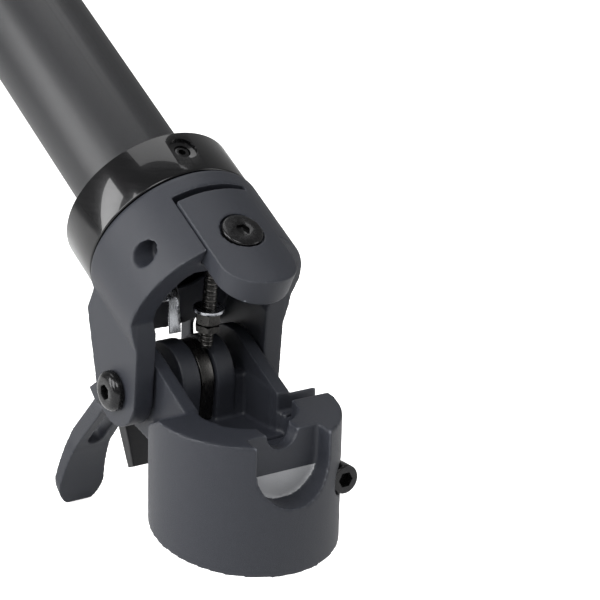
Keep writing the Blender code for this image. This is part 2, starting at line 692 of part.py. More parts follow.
def lever_front_outline():
    """The lever seen from behind: a rounded blade on a neck that forks into two arms."""
    tip = BLADE_TIP_Z + 0.5 - BLADE_HALF_WIDTH
    blade = arc((0, tip), BLADE_HALF_WIDTH, 0, 180, 16)
    left = [(-NECK_HALF_WIDTH - 0.6, 138), (-NECK_HALF_WIDTH, 130), (-NECK_HALF_WIDTH, 104),
            (-ARM_OUTER, 91), (-ARM_OUTER, 50)]
    arch = arc((0, 82), ARM_INNER, 180, 0, 14)
    right = [(-x, z) for x, z in reversed(left)]
    return [*blade, *left, (-ARM_INNER, 50), *arch, (ARM_INNER, 50), *right]


def lever_handle(lever):
    side = [*LEVER_BACK, *LEVER_FRONT, *arc((LEVER_Y, LEVER_Z), LEVER_ROOT_RADIUS, 160, 370, 18)]
    handle = prism("lever_handle", "YZ", side, -ARM_OUTER, ARM_OUTER)
    meet(handle, prism("lever_front", "XZ", lever_front_outline(), 15, 70))
    cut(handle, prism("lever_slot", "XZ", stadium(0, 118.5, 6.6, 28.0), 15, 70))
    low, high = CATCH_HALF_WIDTH + 0.4, NECK_HALF_WIDTH
    lug = arc((CATCH_Y, CATCH_Z), 3.4, -110, 100, 12) + [(41.0, CATCH_Z + 5), (41.0, CATCH_Z - 4)]
    for sign in (-1, 1):
        join(handle, prism(f"catch_lug_{sign + 2}", "YZ", lug, sign * low, sign * high))
    cut(handle, box("catch_room", (-low, CATCH_Y - 3.6, CATCH_Z - 8.0), (low, CATCH_Y + 6.0, CATCH_Z + 3.6)))
    cut(handle, cylinder("lever_eye", "X", LEVER_PIN_RADIUS + GAP, -40, 40, (0, LEVER_Y, LEVER_Z)))
    catch_hole = CATCH_PIN_RADIUS + GAP
    cut(handle, cylinder("catch_bore", "X", catch_hole, -40, 40, (0, CATCH_Y, CATCH_Z), 24))
    smooth(handle)
    mount(handle, "casting", lever)


def lever_fittings(stem, lever):
    pin = cylinder("lever_pin", "X", LEVER_PIN_RADIUS, -ARM_OUTER, ARM_OUTER, (0, LEVER_Y, LEVER_Z), 24)
    smooth(pin)
    mount(pin, "steel", stem)
    bumper = box("lever_bumper", (-5.0, 30.6, 96.6), (5.0, 35.6, 104.0))
    edge = bumper.modifiers.new("edge", "BEVEL")
    edge.width = 1.2 * MM
    edge.segments = 2
    mount(bumper, "plastic", lever)
    reach = NECK_HALF_WIDTH - 0.4
    pin = cylinder("catch_pin", "X", CATCH_PIN_RADIUS, -reach, reach, (0, CATCH_Y, CATCH_Z), 24)
    smooth(pin)
    mount(pin, "steel", lever)


def safety_catch(catch):
    """A catch behind the lever's neck, drawn swung in between the arms."""
    outer = arc((CATCH_Y, CATCH_Z), 3.1, 55, 180, 10)
    leg = [(CATCH_Y - 3.1, CATCH_Z - 12), (CATCH_Y - 2.4, CATCH_Z - CATCH_REACH),
           (CATCH_Y + 1.8, CATCH_Z - CATCH_REACH), (CATCH_Y + 2.4, CATCH_Z - 5.0)]
    nub = [(CATCH_Y + 4.9, CATCH_Z - 1.2), (CATCH_Y + 5.2, CATCH_Z + 0.2), (CATCH_Y + 4.8, CATCH_Z + 1.2)]
    block = prism("safety_catch", "YZ", [*outer, *leg, *nub], -CATCH_HALF_WIDTH, CATCH_HALF_WIDTH)
    catch_hole = CATCH_PIN_RADIUS + GAP
    cut(block, cylinder("catch_eye", "X", catch_hole, -20, 20, (0, CATCH_Y, CATCH_Z), 24))
    smooth(block)
    mount(block, "plastic", catch)


# ---------------------------------------------------------------- build

def build():
    stem = axis_empty("fold_axis", HINGE)
    rod_axis = axis_empty("rod_axis", DRAW, stem)
    lever = axis_empty("lever_axis", LEVER, stem)
    catch = axis_empty("catch_axis", CATCH, lever)
    clamp_base()
    pinch_hardware()
    hinge_hardware()
    strike_plate()
    hinge_head(stem)
    latch_plate(stem)
    lock_collar(stem)
    stem_tube(stem)
    draw_rod(stem, rod_axis)
    release_leaf(stem)
    lever_handle(lever)
    lever_fittings(stem, lever)
    safety_catch(catch)
    stem.rotation_euler.x = -math.radians(FOLD_AT_REST)
    rod_axis.rotation_euler.x = -math.radians(ROD_PER_FOLD * FOLD_AT_REST)
    lever.rotation_euler.x = -math.radians(LEVER_AT_REST)
    catch.rotation_euler.x = math.radians(CATCH_AT_REST)
    bpy.context.view_layer.update()


build()
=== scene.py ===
"""The finished looks of an electric kick scooter's folding stem around its CAD frame.

Millimetres in the values below, metres in Blender. The shapes are drawn with the
stem locked upright and then turned on their own axes to the half-folded rest.
"""

import math

import bmesh
import bpy
from mathutils import Matrix, Vector


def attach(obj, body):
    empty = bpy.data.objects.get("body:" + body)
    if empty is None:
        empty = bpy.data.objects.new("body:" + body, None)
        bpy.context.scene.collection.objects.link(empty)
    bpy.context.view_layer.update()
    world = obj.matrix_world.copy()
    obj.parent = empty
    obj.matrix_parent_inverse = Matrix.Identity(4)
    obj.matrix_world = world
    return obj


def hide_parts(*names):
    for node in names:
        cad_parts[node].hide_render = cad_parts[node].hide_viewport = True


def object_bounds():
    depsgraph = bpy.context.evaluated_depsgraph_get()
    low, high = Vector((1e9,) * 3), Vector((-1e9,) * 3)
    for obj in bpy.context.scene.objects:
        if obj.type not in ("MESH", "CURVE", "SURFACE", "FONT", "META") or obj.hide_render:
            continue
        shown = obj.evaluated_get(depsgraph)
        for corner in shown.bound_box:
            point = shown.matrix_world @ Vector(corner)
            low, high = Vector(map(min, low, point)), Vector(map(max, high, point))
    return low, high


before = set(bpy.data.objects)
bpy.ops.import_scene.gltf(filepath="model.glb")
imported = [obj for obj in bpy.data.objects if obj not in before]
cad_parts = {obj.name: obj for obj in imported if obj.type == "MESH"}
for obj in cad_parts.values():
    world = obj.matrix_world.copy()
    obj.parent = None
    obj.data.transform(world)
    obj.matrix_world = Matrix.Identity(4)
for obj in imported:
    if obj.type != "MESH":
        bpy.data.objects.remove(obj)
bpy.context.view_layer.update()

MM = 0.001
GAP = 0.3

# Angles of the rest position, degrees from locked and closed
FOLD_AT_REST = 61.0
LEVER_AT_REST = 75.5
CATCH_AT_REST = 112.0
ROD_PER_FOLD = 0.41

# Clamp
BASE_RADIUS = 33.0
RIM_HEIGHT = 44.0
RIM_SLOPE = math.radians(4.0)
FOOT_SLOPE = math.radians(9.0)
STEERER_RADIUS = 16.0
BORE_TOP = 24.0
CUP_FLOOR = 30.0
CUP_RADIUS = 17.5
CABLE_RADIUS = 6.0
SLIT_WIDTH = 1.6
SLIT_ANGLE = 93.0
SLIT_NOTCH_WIDTH = 6.4
SLIT_NOTCH_DEPTH = 7.0
PINCH_X = 25.2
PINCH_Z = 20.3
PINCH_RADIUS = 3.0
PINCH_HEAD_RADIUS = 5.2
PINCH_HEAD_HEIGHT = 6.5
PINCH_SEAT_Y = 17.7
SET_SCREW_ANGLE = 51.0
SET_SCREW_Z = 7.0
SET_SCREW_RADIUS = 2.2
SET_SCREW_LENGTH = 9.0

# Hinge
HINGE_Y = 36.5
HINGE_Z = 44.0
EAR_INNER = 22.4
EAR_OUTER = 30.0
EAR_RADIUS = 13.0
HINGE_PIN_RADIUS = 4.0
HINGE_HEAD_RADIUS = 7.2
HINGE_HEAD_HEIGHT = 3.8
WASHER_THICKNESS = 0.6
CHEEK_INNER = 16.0
CHEEK_OUTER = 21.2
CHEEK_RADIUS = 15.5
KNUCKLE_INNER = 3.3
KNUCKLE_OUTER = 10.8
KNUCKLE_RADIUS = 14.0
KNUCKLE_FOOT = 24.2
PLATE_HALF_THICKNESS = 2.6

# Head and latch
HEAD_TOP = 75.7
HEAD_ROOF = 64.0
CAVITY_RADIUS = 24.0
FRONT_WALL = 4.2
LATCH_HALF_WIDTH = 14.0
LATCH_TOP = 65.0
LATCH_THICKNESS = 10.0
LATCH_SCREW_Z = 45.0
LATCH_SCREW_RADIUS = 7.2
POCKET_DEPTH = 10.5
POCKET_BOTTOM = 18.6
# Top of the rough skin patch on the pocket's back wall, lightened as painted light of a lit shelf
PAINTED_LIT_SKIN_TOP = 28.5
TAB_RADIUS = 5.9
LATCH_GAP = 0.4
LATCH_TOP_GAP = 3.0

# Tube and collar
TUBE_RADIUS = 21.0
TUBE_WALL = 2.5
TUBE_TOP = 806.0
TUBE_FOOT = 66.0
COLLAR_RADIUS = 32.3
COLLAR_HEIGHT = 19.4
COLLAR_SCREW_RADIUS = 2.6
PLUG_CENTRE_Z = 150.0
PLUG_LENGTH = 26.0
PLUG_WIDTH = 12.4

# Draw rod
DRAW_Y = -17.5
DRAW_Z = 56.0
DRAW_PIN_RADIUS = 2.3
DRAW_EYE_RADIUS = 4.2
DRAW_LENGTH = 39.5
DRAW_TILT = 3.0
ROD_RADIUS = 2.3
THREAD_PITCH = 0.8
SIDE_HOLE_RADIUS = 4.25

# Lever and catch
LEVER_Y = 44.0
LEVER_Z = 62.0
LEVER_PIN_RADIUS = 2.5
LEVER_ROOT_RADIUS = 4.6
LEVER_LUG_INNER = 11.1
LEVER_LUG_OUTER = 12.9
ARM_INNER = 13.3
ARM_OUTER = 15.6
NECK_HALF_WIDTH = 7.6
BLADE_HALF_WIDTH = 9.8
BLADE_TIP_Z = 161.8
CATCH_Y = 47.6
CATCH_Z = 97.5
CATCH_HALF_WIDTH = 4.7
CATCH_PIN_RADIUS = 1.5
CATCH_REACH = 21.5

# Remesh cells of the cast and moulded pieces
CLAMP_CELL = 0.62
HEAD_CELL = 0.5
PLATE_CELL = 0.32
LEVER_CELL = 0.36
CATCH_CELL = 0.3

# Distances within which doubled points are merged, in metres
CORNER_WELD = 1e-7
POINT_WELD = 2e-6
SEAM_WELD = 5e-6

# Facets round a full turn
FINE_SIDES = 256
BORE_SIDES = 192

HINGE = Vector((0.0, HINGE_Y, HINGE_Z))
DRAW = Vector((0.0, DRAW_Y, DRAW_Z))
LEVER = Vector((0.0, LEVER_Y, LEVER_Z))
CATCH = Vector((0.0, CATCH_Y, CATCH_Z))


# ---------------------------------------------------------------- rest position

def turn_about(place, degrees):
    """A turn about an X axis through a place, positive from Y towards Z."""
    place = place * MM
    turn = Matrix.Rotation(math.radians(degrees), 4, "X")
    return Matrix.Translation(place) @ turn @ Matrix.Translation(-place)


STEM_TURN = turn_about(HINGE, -FOLD_AT_REST)
LEVER_TURN = STEM_TURN @ turn_about(LEVER, -LEVER_AT_REST)
TURNS = {
    "base": Matrix.Identity(4),
    "stem": STEM_TURN,
    "rod": STEM_TURN @ turn_about(DRAW, -ROD_PER_FOLD * FOLD_AT_REST),
    "lever": LEVER_TURN,
    "catch": LEVER_TURN @ turn_about(CATCH, CATCH_AT_REST),
}


# ---------------------------------------------------------------- shape tools

TO_AXIS = {
    "X": Matrix.Rotation(math.pi / 2, 4, "Y"),
    "Y": Matrix.Rotation(-math.pi / 2, 4, "X"),
    "Z": Matrix.Identity(4),
}


def object_from(name, shape):
    bmesh.ops.recalc_face_normals(shape, faces=shape.faces)
    mesh = bpy.data.meshes.new(name)
    shape.to_mesh(mesh)
    shape.free()
    obj = bpy.data.objects.new(name, mesh)
    bpy.context.scene.collection.objects.link(obj)
    return obj


def lathe(name, axis, profile, centre=(0.0, 0.0, 0.0), sides=96, hollow=False):
    """Turns (radius, along) pairs about an axis; a hollow profile closes on itself."""
    place = Vector(centre)
    place["XYZ".index(axis)] = 0.0
    to_place = Matrix.Translation(place * MM) @ TO_AXIS[axis]
    shape = bmesh.new()
    rings = []
    for radius, along in profile:
        ring = []
        for side in range(sides):
            angle = 2 * math.pi * side / sides
            point = Vector((radius * math.cos(angle), radius * math.sin(angle), along)) * MM
            ring.append(shape.verts.new(to_place @ point))
        rings.append(ring)
    pairs = list(zip(rings, rings[1:]))
    if hollow:
        pairs.append((rings[-1], rings[0]))
    else:
        shape.faces.new(rings[0])
        shape.faces.new(rings[-1])
    for low, high in pairs:
        for side in range(sides):
            after = (side + 1) % sides
            shape.faces.new((low[side], low[after], high[after], high[side]))
    return object_from(name, shape)


def rounded_edge(radius, along, size, start, steps=4):
    """Profile pairs of a rounded outer edge whose quarter starts at that angle."""
    pairs = []
    for step in range(steps + 1):
        angle = math.radians(start + 90.0 * step / steps)
        pairs.append((radius + size * math.cos(angle), along + size * math.sin(angle)))
    return pairs


def cylinder(name, axis, radius, start, end, centre=(0.0, 0.0, 0.0), sides=96, edge=0.0):
    """A cylinder from start to end along its axis, with its outer edges rounded."""
    low, high = min(start, end), max(start, end)
    if edge <= 0:
        return lathe(name, axis, [(radius, low), (radius, high)], centre, sides)
    profile = rounded_edge(radius - edge, low + edge, edge, -90)
    profile += rounded_edge(radius - edge, high - edge, edge, 0)
    return lathe(name, axis, profile, centre, sides)


def ring(name, axis, outer, inner, start, end, centre=(0.0, 0.0, 0.0), sides=96, edge=0.2):
    """A tube or washer with small rounds on all four edges."""
    low, high = min(start, end), max(start, end)
    profile = rounded_edge(outer - edge, low + edge, edge, -90)
    profile += rounded_edge(outer - edge, high - edge, edge, 0)
    profile += rounded_edge(inner + edge, high - edge, edge, 90)
    profile += rounded_edge(inner + edge, low + edge, edge, 180)
    return lathe(name, axis, profile, centre, sides, hollow=True)


def box(name, low, high):
    low, high = Vector(low), Vector(high)
    shape = bmesh.new()
    bmesh.ops.create_cube(shape, size=1.0)
    shape.transform(Matrix.Translation((low + high) / 2 * MM) @ Matrix.Diagonal((*((high - low) * MM), 1.0)))
    return object_from(name, shape)


def prism(name, plane, outline, start, end):
    """A flat outline in YZ or XZ, thick from start to end along the third axis."""
    shape = bmesh.new()
    sheets = []
    for depth in (start, end):
        if plane == "YZ":
            places = [(depth, across, up) for across, up in outline]
        else:
            places = [(across, depth, up) for across, up in outline]
        sheets.append([shape.verts.new(Vector(place) * MM) for place in places])
    shape.faces.new(sheets[0])
    shape.faces.new(sheets[1])
    count = len(outline)
    for index in range(count):
        after = (index + 1) % count
        shape.faces.new((sheets[0][index], sheets[0][after], sheets[1][after], sheets[1][index]))
    bmesh.ops.remove_doubles(shape, verts=shape.verts, dist=CORNER_WELD)
    return object_from(name, shape)


def arc(centre, radius, first, last, steps=32):
    """Points of an arc, angles in degrees, counter-clockwise when last > first."""
    points = []
    for step in range(steps + 1):
        angle = math.radians(first + (last - first) * step / steps)
        points.append((centre[0] + radius * math.cos(angle), centre[1] + radius * math.sin(angle)))
    return points


def bake(obj):
    """Applies all modifiers of an object to its mesh."""
    bpy.context.view_layer.update()
    graph = bpy.context.evaluated_depsgraph_get()
    mesh = bpy.data.meshes.new_from_object(obj.evaluated_get(graph))
    old = obj.data
    obj.modifiers.clear()
    obj.data = mesh
    mesh.name = obj.name
    bpy.data.meshes.remove(old)
    return obj


def combine(target, tool, operation):
    step = target.modifiers.new("combine", "BOOLEAN")
    step.operation = operation
    step.solver = "EXACT"
    step.object = tool
    bake(target)
    bpy.data.objects.remove(tool, do_unlink=True)
    return target


def cut(target, tool):
    return combine(target, tool, "DIFFERENCE")


def join(target, tool):
    return combine(target, tool, "UNION")


def meet(target, tool):
    return combine(target, tool, "INTERSECT")


def moved(obj, matrix):
    obj.data.transform(matrix)
    return obj


def close_seams(obj):
    """Merges doubled points and fills any slit that a combined shape was left with."""
    shape = bmesh.new()
    shape.from_mesh(obj.data)
    bmesh.ops.remove_doubles(shape, verts=shape.verts, dist=SEAM_WELD)
    open_edges = [edge for edge in shape.edges if len(edge.link_faces) == 1]
    bmesh.ops.holes_fill(shape, edges=open_edges, sides=0)
    bmesh.ops.recalc_face_normals(shape, faces=shape.faces)
    shape.to_mesh(obj.data)
    shape.free()


def soften(obj, cell, passes):
    """Rounds every edge of a cast piece with an even remesh and smoothing passes."""
    close_seams(obj)
    even = obj.modifiers.new("even", "REMESH")
    even.mode = "VOXEL"
    even.voxel_size = cell * 1.0 * MM
    ease = obj.modifiers.new("ease", "SMOOTH")
    ease.factor = 0.5
    ease.iterations = passes
    return bake(obj)


def bevelled(obj, width, segments=3, angle=35.0):
    """Rounds the sharp edges of a machined piece."""
    edge = obj.modifiers.new("edge", "BEVEL")
    edge.width = width * MM
    edge.segments = segments
    edge.limit_method = "ANGLE"
    edge.angle_limit = math.radians(angle)
    edge.use_clamp_overlap = True
    return bake(obj)


def around(angle, radius, z):
    """A place on a circle about Z; 0 degrees is -Y and 90 degrees is +X."""
    turn = math.radians(angle)
    return Vector((radius * math.sin(turn), -radius * math.cos(turn), z))


def rim_z(y):
    return RIM_HEIGHT + math.tan(RIM_SLOPE) * y


def tangent_point(origin, centre, radius, side):
    """Where the line from origin touches a circle; side is +1 above, -1 below."""
    away = Vector((centre[0] - origin[0], centre[1] - origin[1]))
    spread = math.asin(radius / away.length)
    heading = math.atan2(away.y, away.x) + side * spread
    reach = math.sqrt(away.length ** 2 - radius ** 2)
    return (origin[0] + reach * math.cos(heading), origin[1] + reach * math.sin(heading))


def angle_of(point, centre):
    return math.degrees(math.atan2(point[1] - centre[1], point[0] - centre[0]))


HINGE_YZ = (HINGE_Y, HINGE_Z)
EAR_START_Y = 4.0
EAR_START = (EAR_START_Y, rim_z(EAR_START_Y))


# ---------------------------------------------------------------- node tools

def new_group(name, inputs, outputs):
    """A shader node group with named float inputs (name, value) and outputs (name, kind)."""
    tree = bpy.data.node_groups.new(name, "ShaderNodeTree")
    for label, value in inputs:
        socket = tree.interface.new_socket(label, in_out="INPUT", socket_type="NodeSocketFloat")
        socket.default_value = value
    for label, kind in outputs:
        tree.interface.new_socket(label, in_out="OUTPUT", socket_type=kind)
    return tree, tree.nodes.new("NodeGroupInput"), tree.nodes.new("NodeGroupOutput")


def math_node(tree, operation, first, second=None, clamp=False):
    node = tree.nodes.new("ShaderNodeMath")
    node.operation = operation
    node.use_clamp = clamp
    for socket, value in zip(node.inputs, (first, second)):
        if value is None:
            continue
        if isinstance(value, (int, float)):
            socket.default_value = value
        else:
            tree.links.new(value, socket)
    return node.outputs[0]


def map_range(tree, value, low, high, to_low=0.0, to_high=1.0):
    node = tree.nodes.new("ShaderNodeMapRange")
    node.interpolation_type = "SMOOTHSTEP"
    for index, item in enumerate((value, low, high, to_low, to_high)):
        if isinstance(item, (int, float)):
            node.inputs[index].default_value = item
        else:
            tree.links.new(item, node.inputs[index])
    return node.outputs[0]


def noise(tree, coordinate, scale, detail=3.0, roughness=0.55):
    node = tree.nodes.new("ShaderNodeTexNoise")
    node.inputs["Detail"].default_value = detail
    node.inputs["Roughness"].default_value = roughness
    tree.links.new(coordinate, node.inputs["Vector"])
    if isinstance(scale, (int, float)):
        node.inputs["Scale"].default_value = scale
    else:
        tree.links.new(scale, node.inputs["Scale"])
    return node.outputs["Fac"]


def object_place(tree):
    return tree.nodes.new("ShaderNodeTexCoord").outputs["Object"]


def make_coat_grain():
    """Fine orange-peel and grit of a powder coat or a cast skin."""
    tree, given, out = new_group(
        "coat_grain", [("Grain mm", 0.5), ("Grit", 0.5)],
        [("Height", "NodeSocketFloat"), ("Fleck", "NodeSocketFloat"), ("Cloud", "NodeSocketFloat")])
    place = object_place(tree)
    scale = math_node(tree, "DIVIDE", 1000.0, given.outputs["Grain mm"])
    peel = noise(tree, place, scale, 2.0)
    fine = noise(tree, place, math_node(tree, "MULTIPLY", scale, 2.7), 3.0, 0.7)
    cells = tree.nodes.new("ShaderNodeTexVoronoi")
    tree.links.new(place, cells.inputs["Vector"])
    tree.links.new(math_node(tree, "MULTIPLY", scale, 1.6), cells.inputs["Scale"])
    grit = math_node(tree, "MULTIPLY", math_node(tree, "SUBTRACT", 1.0, cells.outputs["Distance"]),
                     given.outputs["Grit"])
    skin = math_node(tree, "ADD", peel, math_node(tree, "MULTIPLY", fine, 0.5))
    height = math_node(tree, "ADD", skin, grit)
    tree.links.new(height, out.inputs["Height"])
    tree.links.new(map_range(tree, fine, 0.42, 0.66), out.inputs["Fleck"])
    tree.links.new(noise(tree, place, 42.0, 3.0), out.inputs["Cloud"])
    return tree


def make_edge_light():
    """Where an outer edge is lightened, partly as rubbed wear and partly as a painted highlight, broken up by
    a little noise.
    """
    tree, given, out = new_group(
        "edge_light", [("From", 0.52), ("To", 0.62)], [("Mask", "NodeSocketFloat")])
    shape = tree.nodes.new("ShaderNodeNewGeometry")
    edge = map_range(tree, shape.outputs["Pointiness"], given.outputs["From"], given.outputs["To"])
    patch = map_range(tree, noise(tree, object_place(tree), 260.0, 4.0), 0.25, 0.6, 0.35, 1.0)
    tree.links.new(math_node(tree, "MULTIPLY", edge, patch, clamp=True), out.inputs["Mask"])
    return tree


def make_scratches():
    """Fine lines left along a piece by turning, drawing or grinding."""
    tree, given, out = new_group(
        "tool_lines", [("Across x", 2200.0), ("Across y", 2200.0), ("Across z", 2200.0)],
        [("Height", "NodeSocketFloat"), ("Mask", "NodeSocketFloat")])
    stretch = tree.nodes.new("ShaderNodeCombineXYZ")
    for index in range(3):
        tree.links.new(given.outputs[index], stretch.inputs[index])
    scaled = tree.nodes.new("ShaderNodeVectorMath")
    scaled.operation = "MULTIPLY"
    tree.links.new(object_place(tree), scaled.inputs[0])
    tree.links.new(stretch.outputs[0], scaled.inputs[1])
    lines = noise(tree, scaled.outputs[0], 1.0, 4.0, 0.65)
    tree.links.new(lines, out.inputs["Height"])
    tree.links.new(map_range(tree, lines, 0.35, 0.68), out.inputs["Mask"])
    return tree


COAT_GRAIN = make_coat_grain()
EDGE_LIGHT = make_edge_light()
TOOL_LINES = make_scratches()


def use_group(tree, group, **values):
    node = tree.nodes.new("ShaderNodeGroup")
    node.node_tree = group
    for label, value in values.items():
        node.inputs[label.replace("_", " ")].default_value = value
    return node


def mix_colour(tree, share, first, second):
    node = tree.nodes.new("ShaderNodeMix")
    node.data_type = "RGBA"
    for socket, value in ((node.inputs[0], share), (node.inputs[6], first), (node.inputs[7], second)):
        if isinstance(value, (int, float)):
            socket.default_value = value
        elif isinstance(value, tuple):
            socket.default_value = (*value, 1.0)
        else:
            tree.links.new(value, socket)
    return node.outputs[2]


def base_material(name, roughness, metallic, coat=0.0, specular=0.35):
    made = bpy.data.materials.new(name)
    made.use_nodes = True
    tree = made.node_tree
    shader = tree.nodes["Principled BSDF"]
    shader.inputs["Roughness"].default_value = roughness
    shader.inputs["Metallic"].default_value = metallic
    shader.inputs["Coat Weight"].default_value = coat
    shader.inputs["Specular IOR Level"].default_value = specular
    return made, tree, shader


def lay_bump(tree, shader, height, strength, depth_mm):
    bump = tree.nodes.new("ShaderNodeBump")
    bump.inputs["Strength"].default_value = strength
    bump.inputs["Distance"].default_value = depth_mm * MM
    tree.links.new(height, bump.inputs["Height"])
    tree.links.new(bump.outputs[0], shader.inputs["Normal"])


def lay_roughness(tree, shader, value, low, high):
    tree.links.new(map_range(tree, value, 0.0, 1.0, low, high), shader.inputs["Roughness"])


def coated(name, colour, fleck, edge_wear_and_highlight_colour, grain, roughness, grit=0.5, edge=(0.53, 0.62), depth=0.05):
    """A dull coat with grain, tiny flecks and lighter outer edges that are partly rubbed wear and partly a
    painted highlight.
    """
    made, tree, shader = base_material(name, roughness[0], 0.0)
    skin = use_group(tree, COAT_GRAIN, Grain_mm=grain, Grit=grit)
    edge_rub_and_highlight = use_group(tree, EDGE_LIGHT, From=edge[0], To=edge[1])
    shade = tuple(0.86 * part for part in colour)
    ground = mix_colour(tree, skin.outputs["Cloud"], shade, colour)
    flecked = mix_colour(tree, math_node(tree, "MULTIPLY", skin.outputs["Fleck"], 0.6), ground, fleck)
    # outer edges mixed towards the edge colour: a painted highlight, partly rubbed wear
    tree.links.new(mix_colour(tree, edge_rub_and_highlight.outputs["Mask"], flecked, edge_wear_and_highlight_colour), shader.inputs["Base Color"])
    lay_roughness(tree, shader, skin.outputs["Fleck"], *roughness)
    lay_bump(tree, shader, skin.outputs["Height"], 0.55, depth)
    return made


def machined(name, colour, worn_and_highlight, stretch, roughness, metallic=1.0, coat=0.0, depth=0.02, edge=(0.54, 0.66)):
    """Smooth metal with the lines of its making and brighter edges that are partly rubbed wear and partly a
    painted highlight.
    """
    made, tree, shader = base_material(name, roughness[0], metallic, coat)
    lines = use_group(tree, TOOL_LINES, Across_x=stretch[0], Across_y=stretch[1], Across_z=stretch[2])
    skin = use_group(tree, COAT_GRAIN, Grain_mm=1.8, Grit=0.0)
    edge_rub_and_highlight = use_group(tree, EDGE_LIGHT, From=edge[0], To=edge[1])
    light = tuple(min(1.0, 1.35 * part) for part in colour)
    ground = mix_colour(tree, lines.outputs["Mask"], colour, light)
    clouded = mix_colour(tree, math_node(tree, "MULTIPLY", skin.outputs["Cloud"], 0.35), ground, worn_and_highlight)
    # outer edges mixed towards the worn colour: a painted highlight, partly rubbed wear
    shown = mix_colour(tree, math_node(tree, "MULTIPLY", edge_rub_and_highlight.outputs["Mask"], 0.8), clouded, worn_and_highlight)
    tree.links.new(shown, shader.inputs["Base Color"])
    lay_roughness(tree, shader, lines.outputs["Mask"], *roughness)
    lay_bump(tree, shader, lines.outputs["Height"], 0.35, depth)
    return made


# The edge colours of the coated looks and the worn colours of the metals are partly rubbed wear and partly a
# painted highlight on outer edges
LOOKS = {
    "casting": coated("powder_coat", (0.019, 0.021, 0.0275), (0.044, 0.047, 0.058), (0.16, 0.17, 0.195),
                      0.40, (0.40, 0.58), depth=0.10),
    # rough cast skin far lighter than the coat: partly its own colour, partly painted light of a lit shelf
    # facing up; its white flecks are painted glints
    "raw_cast_painted_lit": coated("rough_cast_skin_painted_lit", (0.20, 0.205, 0.215), (0.80, 0.81, 0.84), (0.30, 0.31, 0.33),
                          0.45, (0.35, 0.55), 0.8, depth=0.14),
    "anodised": coated("matte_anodised", (0.015, 0.0152, 0.0165), (0.055, 0.056, 0.060), (0.04, 0.04, 0.044),
                       0.22, (0.30, 0.44), 0.4, depth=0.02),
    "gloss_black": machined("gloss_anodised", (0.0025, 0.0025, 0.003), (0.008, 0.008, 0.009), (90, 90, 5200),
                            (0.16, 0.26), 0.5, 0.5, 0.006),
    "black_steel": machined("blackened_steel", (0.010, 0.010, 0.0105), (0.05, 0.05, 0.053), (700, 700, 700),
                            (0.20, 0.34), 0.85, 0.3, 0.01),
    "steel": machined("drawn_steel", (0.040, 0.039, 0.037), (0.17, 0.165, 0.16), (2600, 500, 500),
                      (0.26, 0.44), 1.0, 0.0, 0.02),
    "bright_steel": machined("spring_steel", (0.30, 0.31, 0.33), (0.62, 0.63, 0.65), (2800, 400, 400),
                             (0.18, 0.34), 1.0, 0.0, 0.015),
    "plastic": coated("moulded_plastic", (0.011, 0.011, 0.012), (0.022, 0.022, 0.024), (0.05, 0.05, 0.053),
                      0.6, (0.36, 0.48), 0.2, depth=0.02),
}


def place_piece(obj, look, body, *nodes, slot=None, angle=30.0):
    """Puts a finished shape in its rest place, gives it its look and its body."""
    shape = bmesh.new()
    shape.from_mesh(obj.data)
    bmesh.ops.remove_doubles(shape, verts=shape.verts, dist=POINT_WELD)
    bmesh.ops.recalc_face_normals(shape, faces=shape.faces)
    shape.to_mesh(obj.data)
    shape.free()
    obj.data.transform(TURNS[body])
    obj.data.shade_smooth()
    obj.data.set_sharp_from_angle(angle=math.radians(angle))
    obj.data.materials.clear()
    obj.data.materials.append(LOOKS[look])
    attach(obj, body)
    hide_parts(*nodes)
    return obj


# ---------------------------------------------------------------- clamp

def cheek_outline():
    foot = (EAR_START_Y, rim_z(EAR_START_Y) - 0.5)
    top = tangent_point(foot, HINGE_YZ, CHEEK_RADIUS, 1)
    low_corner = (BASE_RADIUS - 5.0, CUP_FLOOR - 4.0)
    return [foot, *arc(HINGE_YZ, CHEEK_RADIUS, angle_of(top, HINGE_YZ), -80, 60),
            low_corner, (foot[0], CUP_FLOOR - 4.0)]


def knuckle_outline():
    low = CUP_FLOOR - 1.0
    return [(KNUCKLE_FOOT, low), (BASE_RADIUS - 1.0, low), *arc(HINGE_YZ, KNUCKLE_RADIUS, -60, 186, 72)]


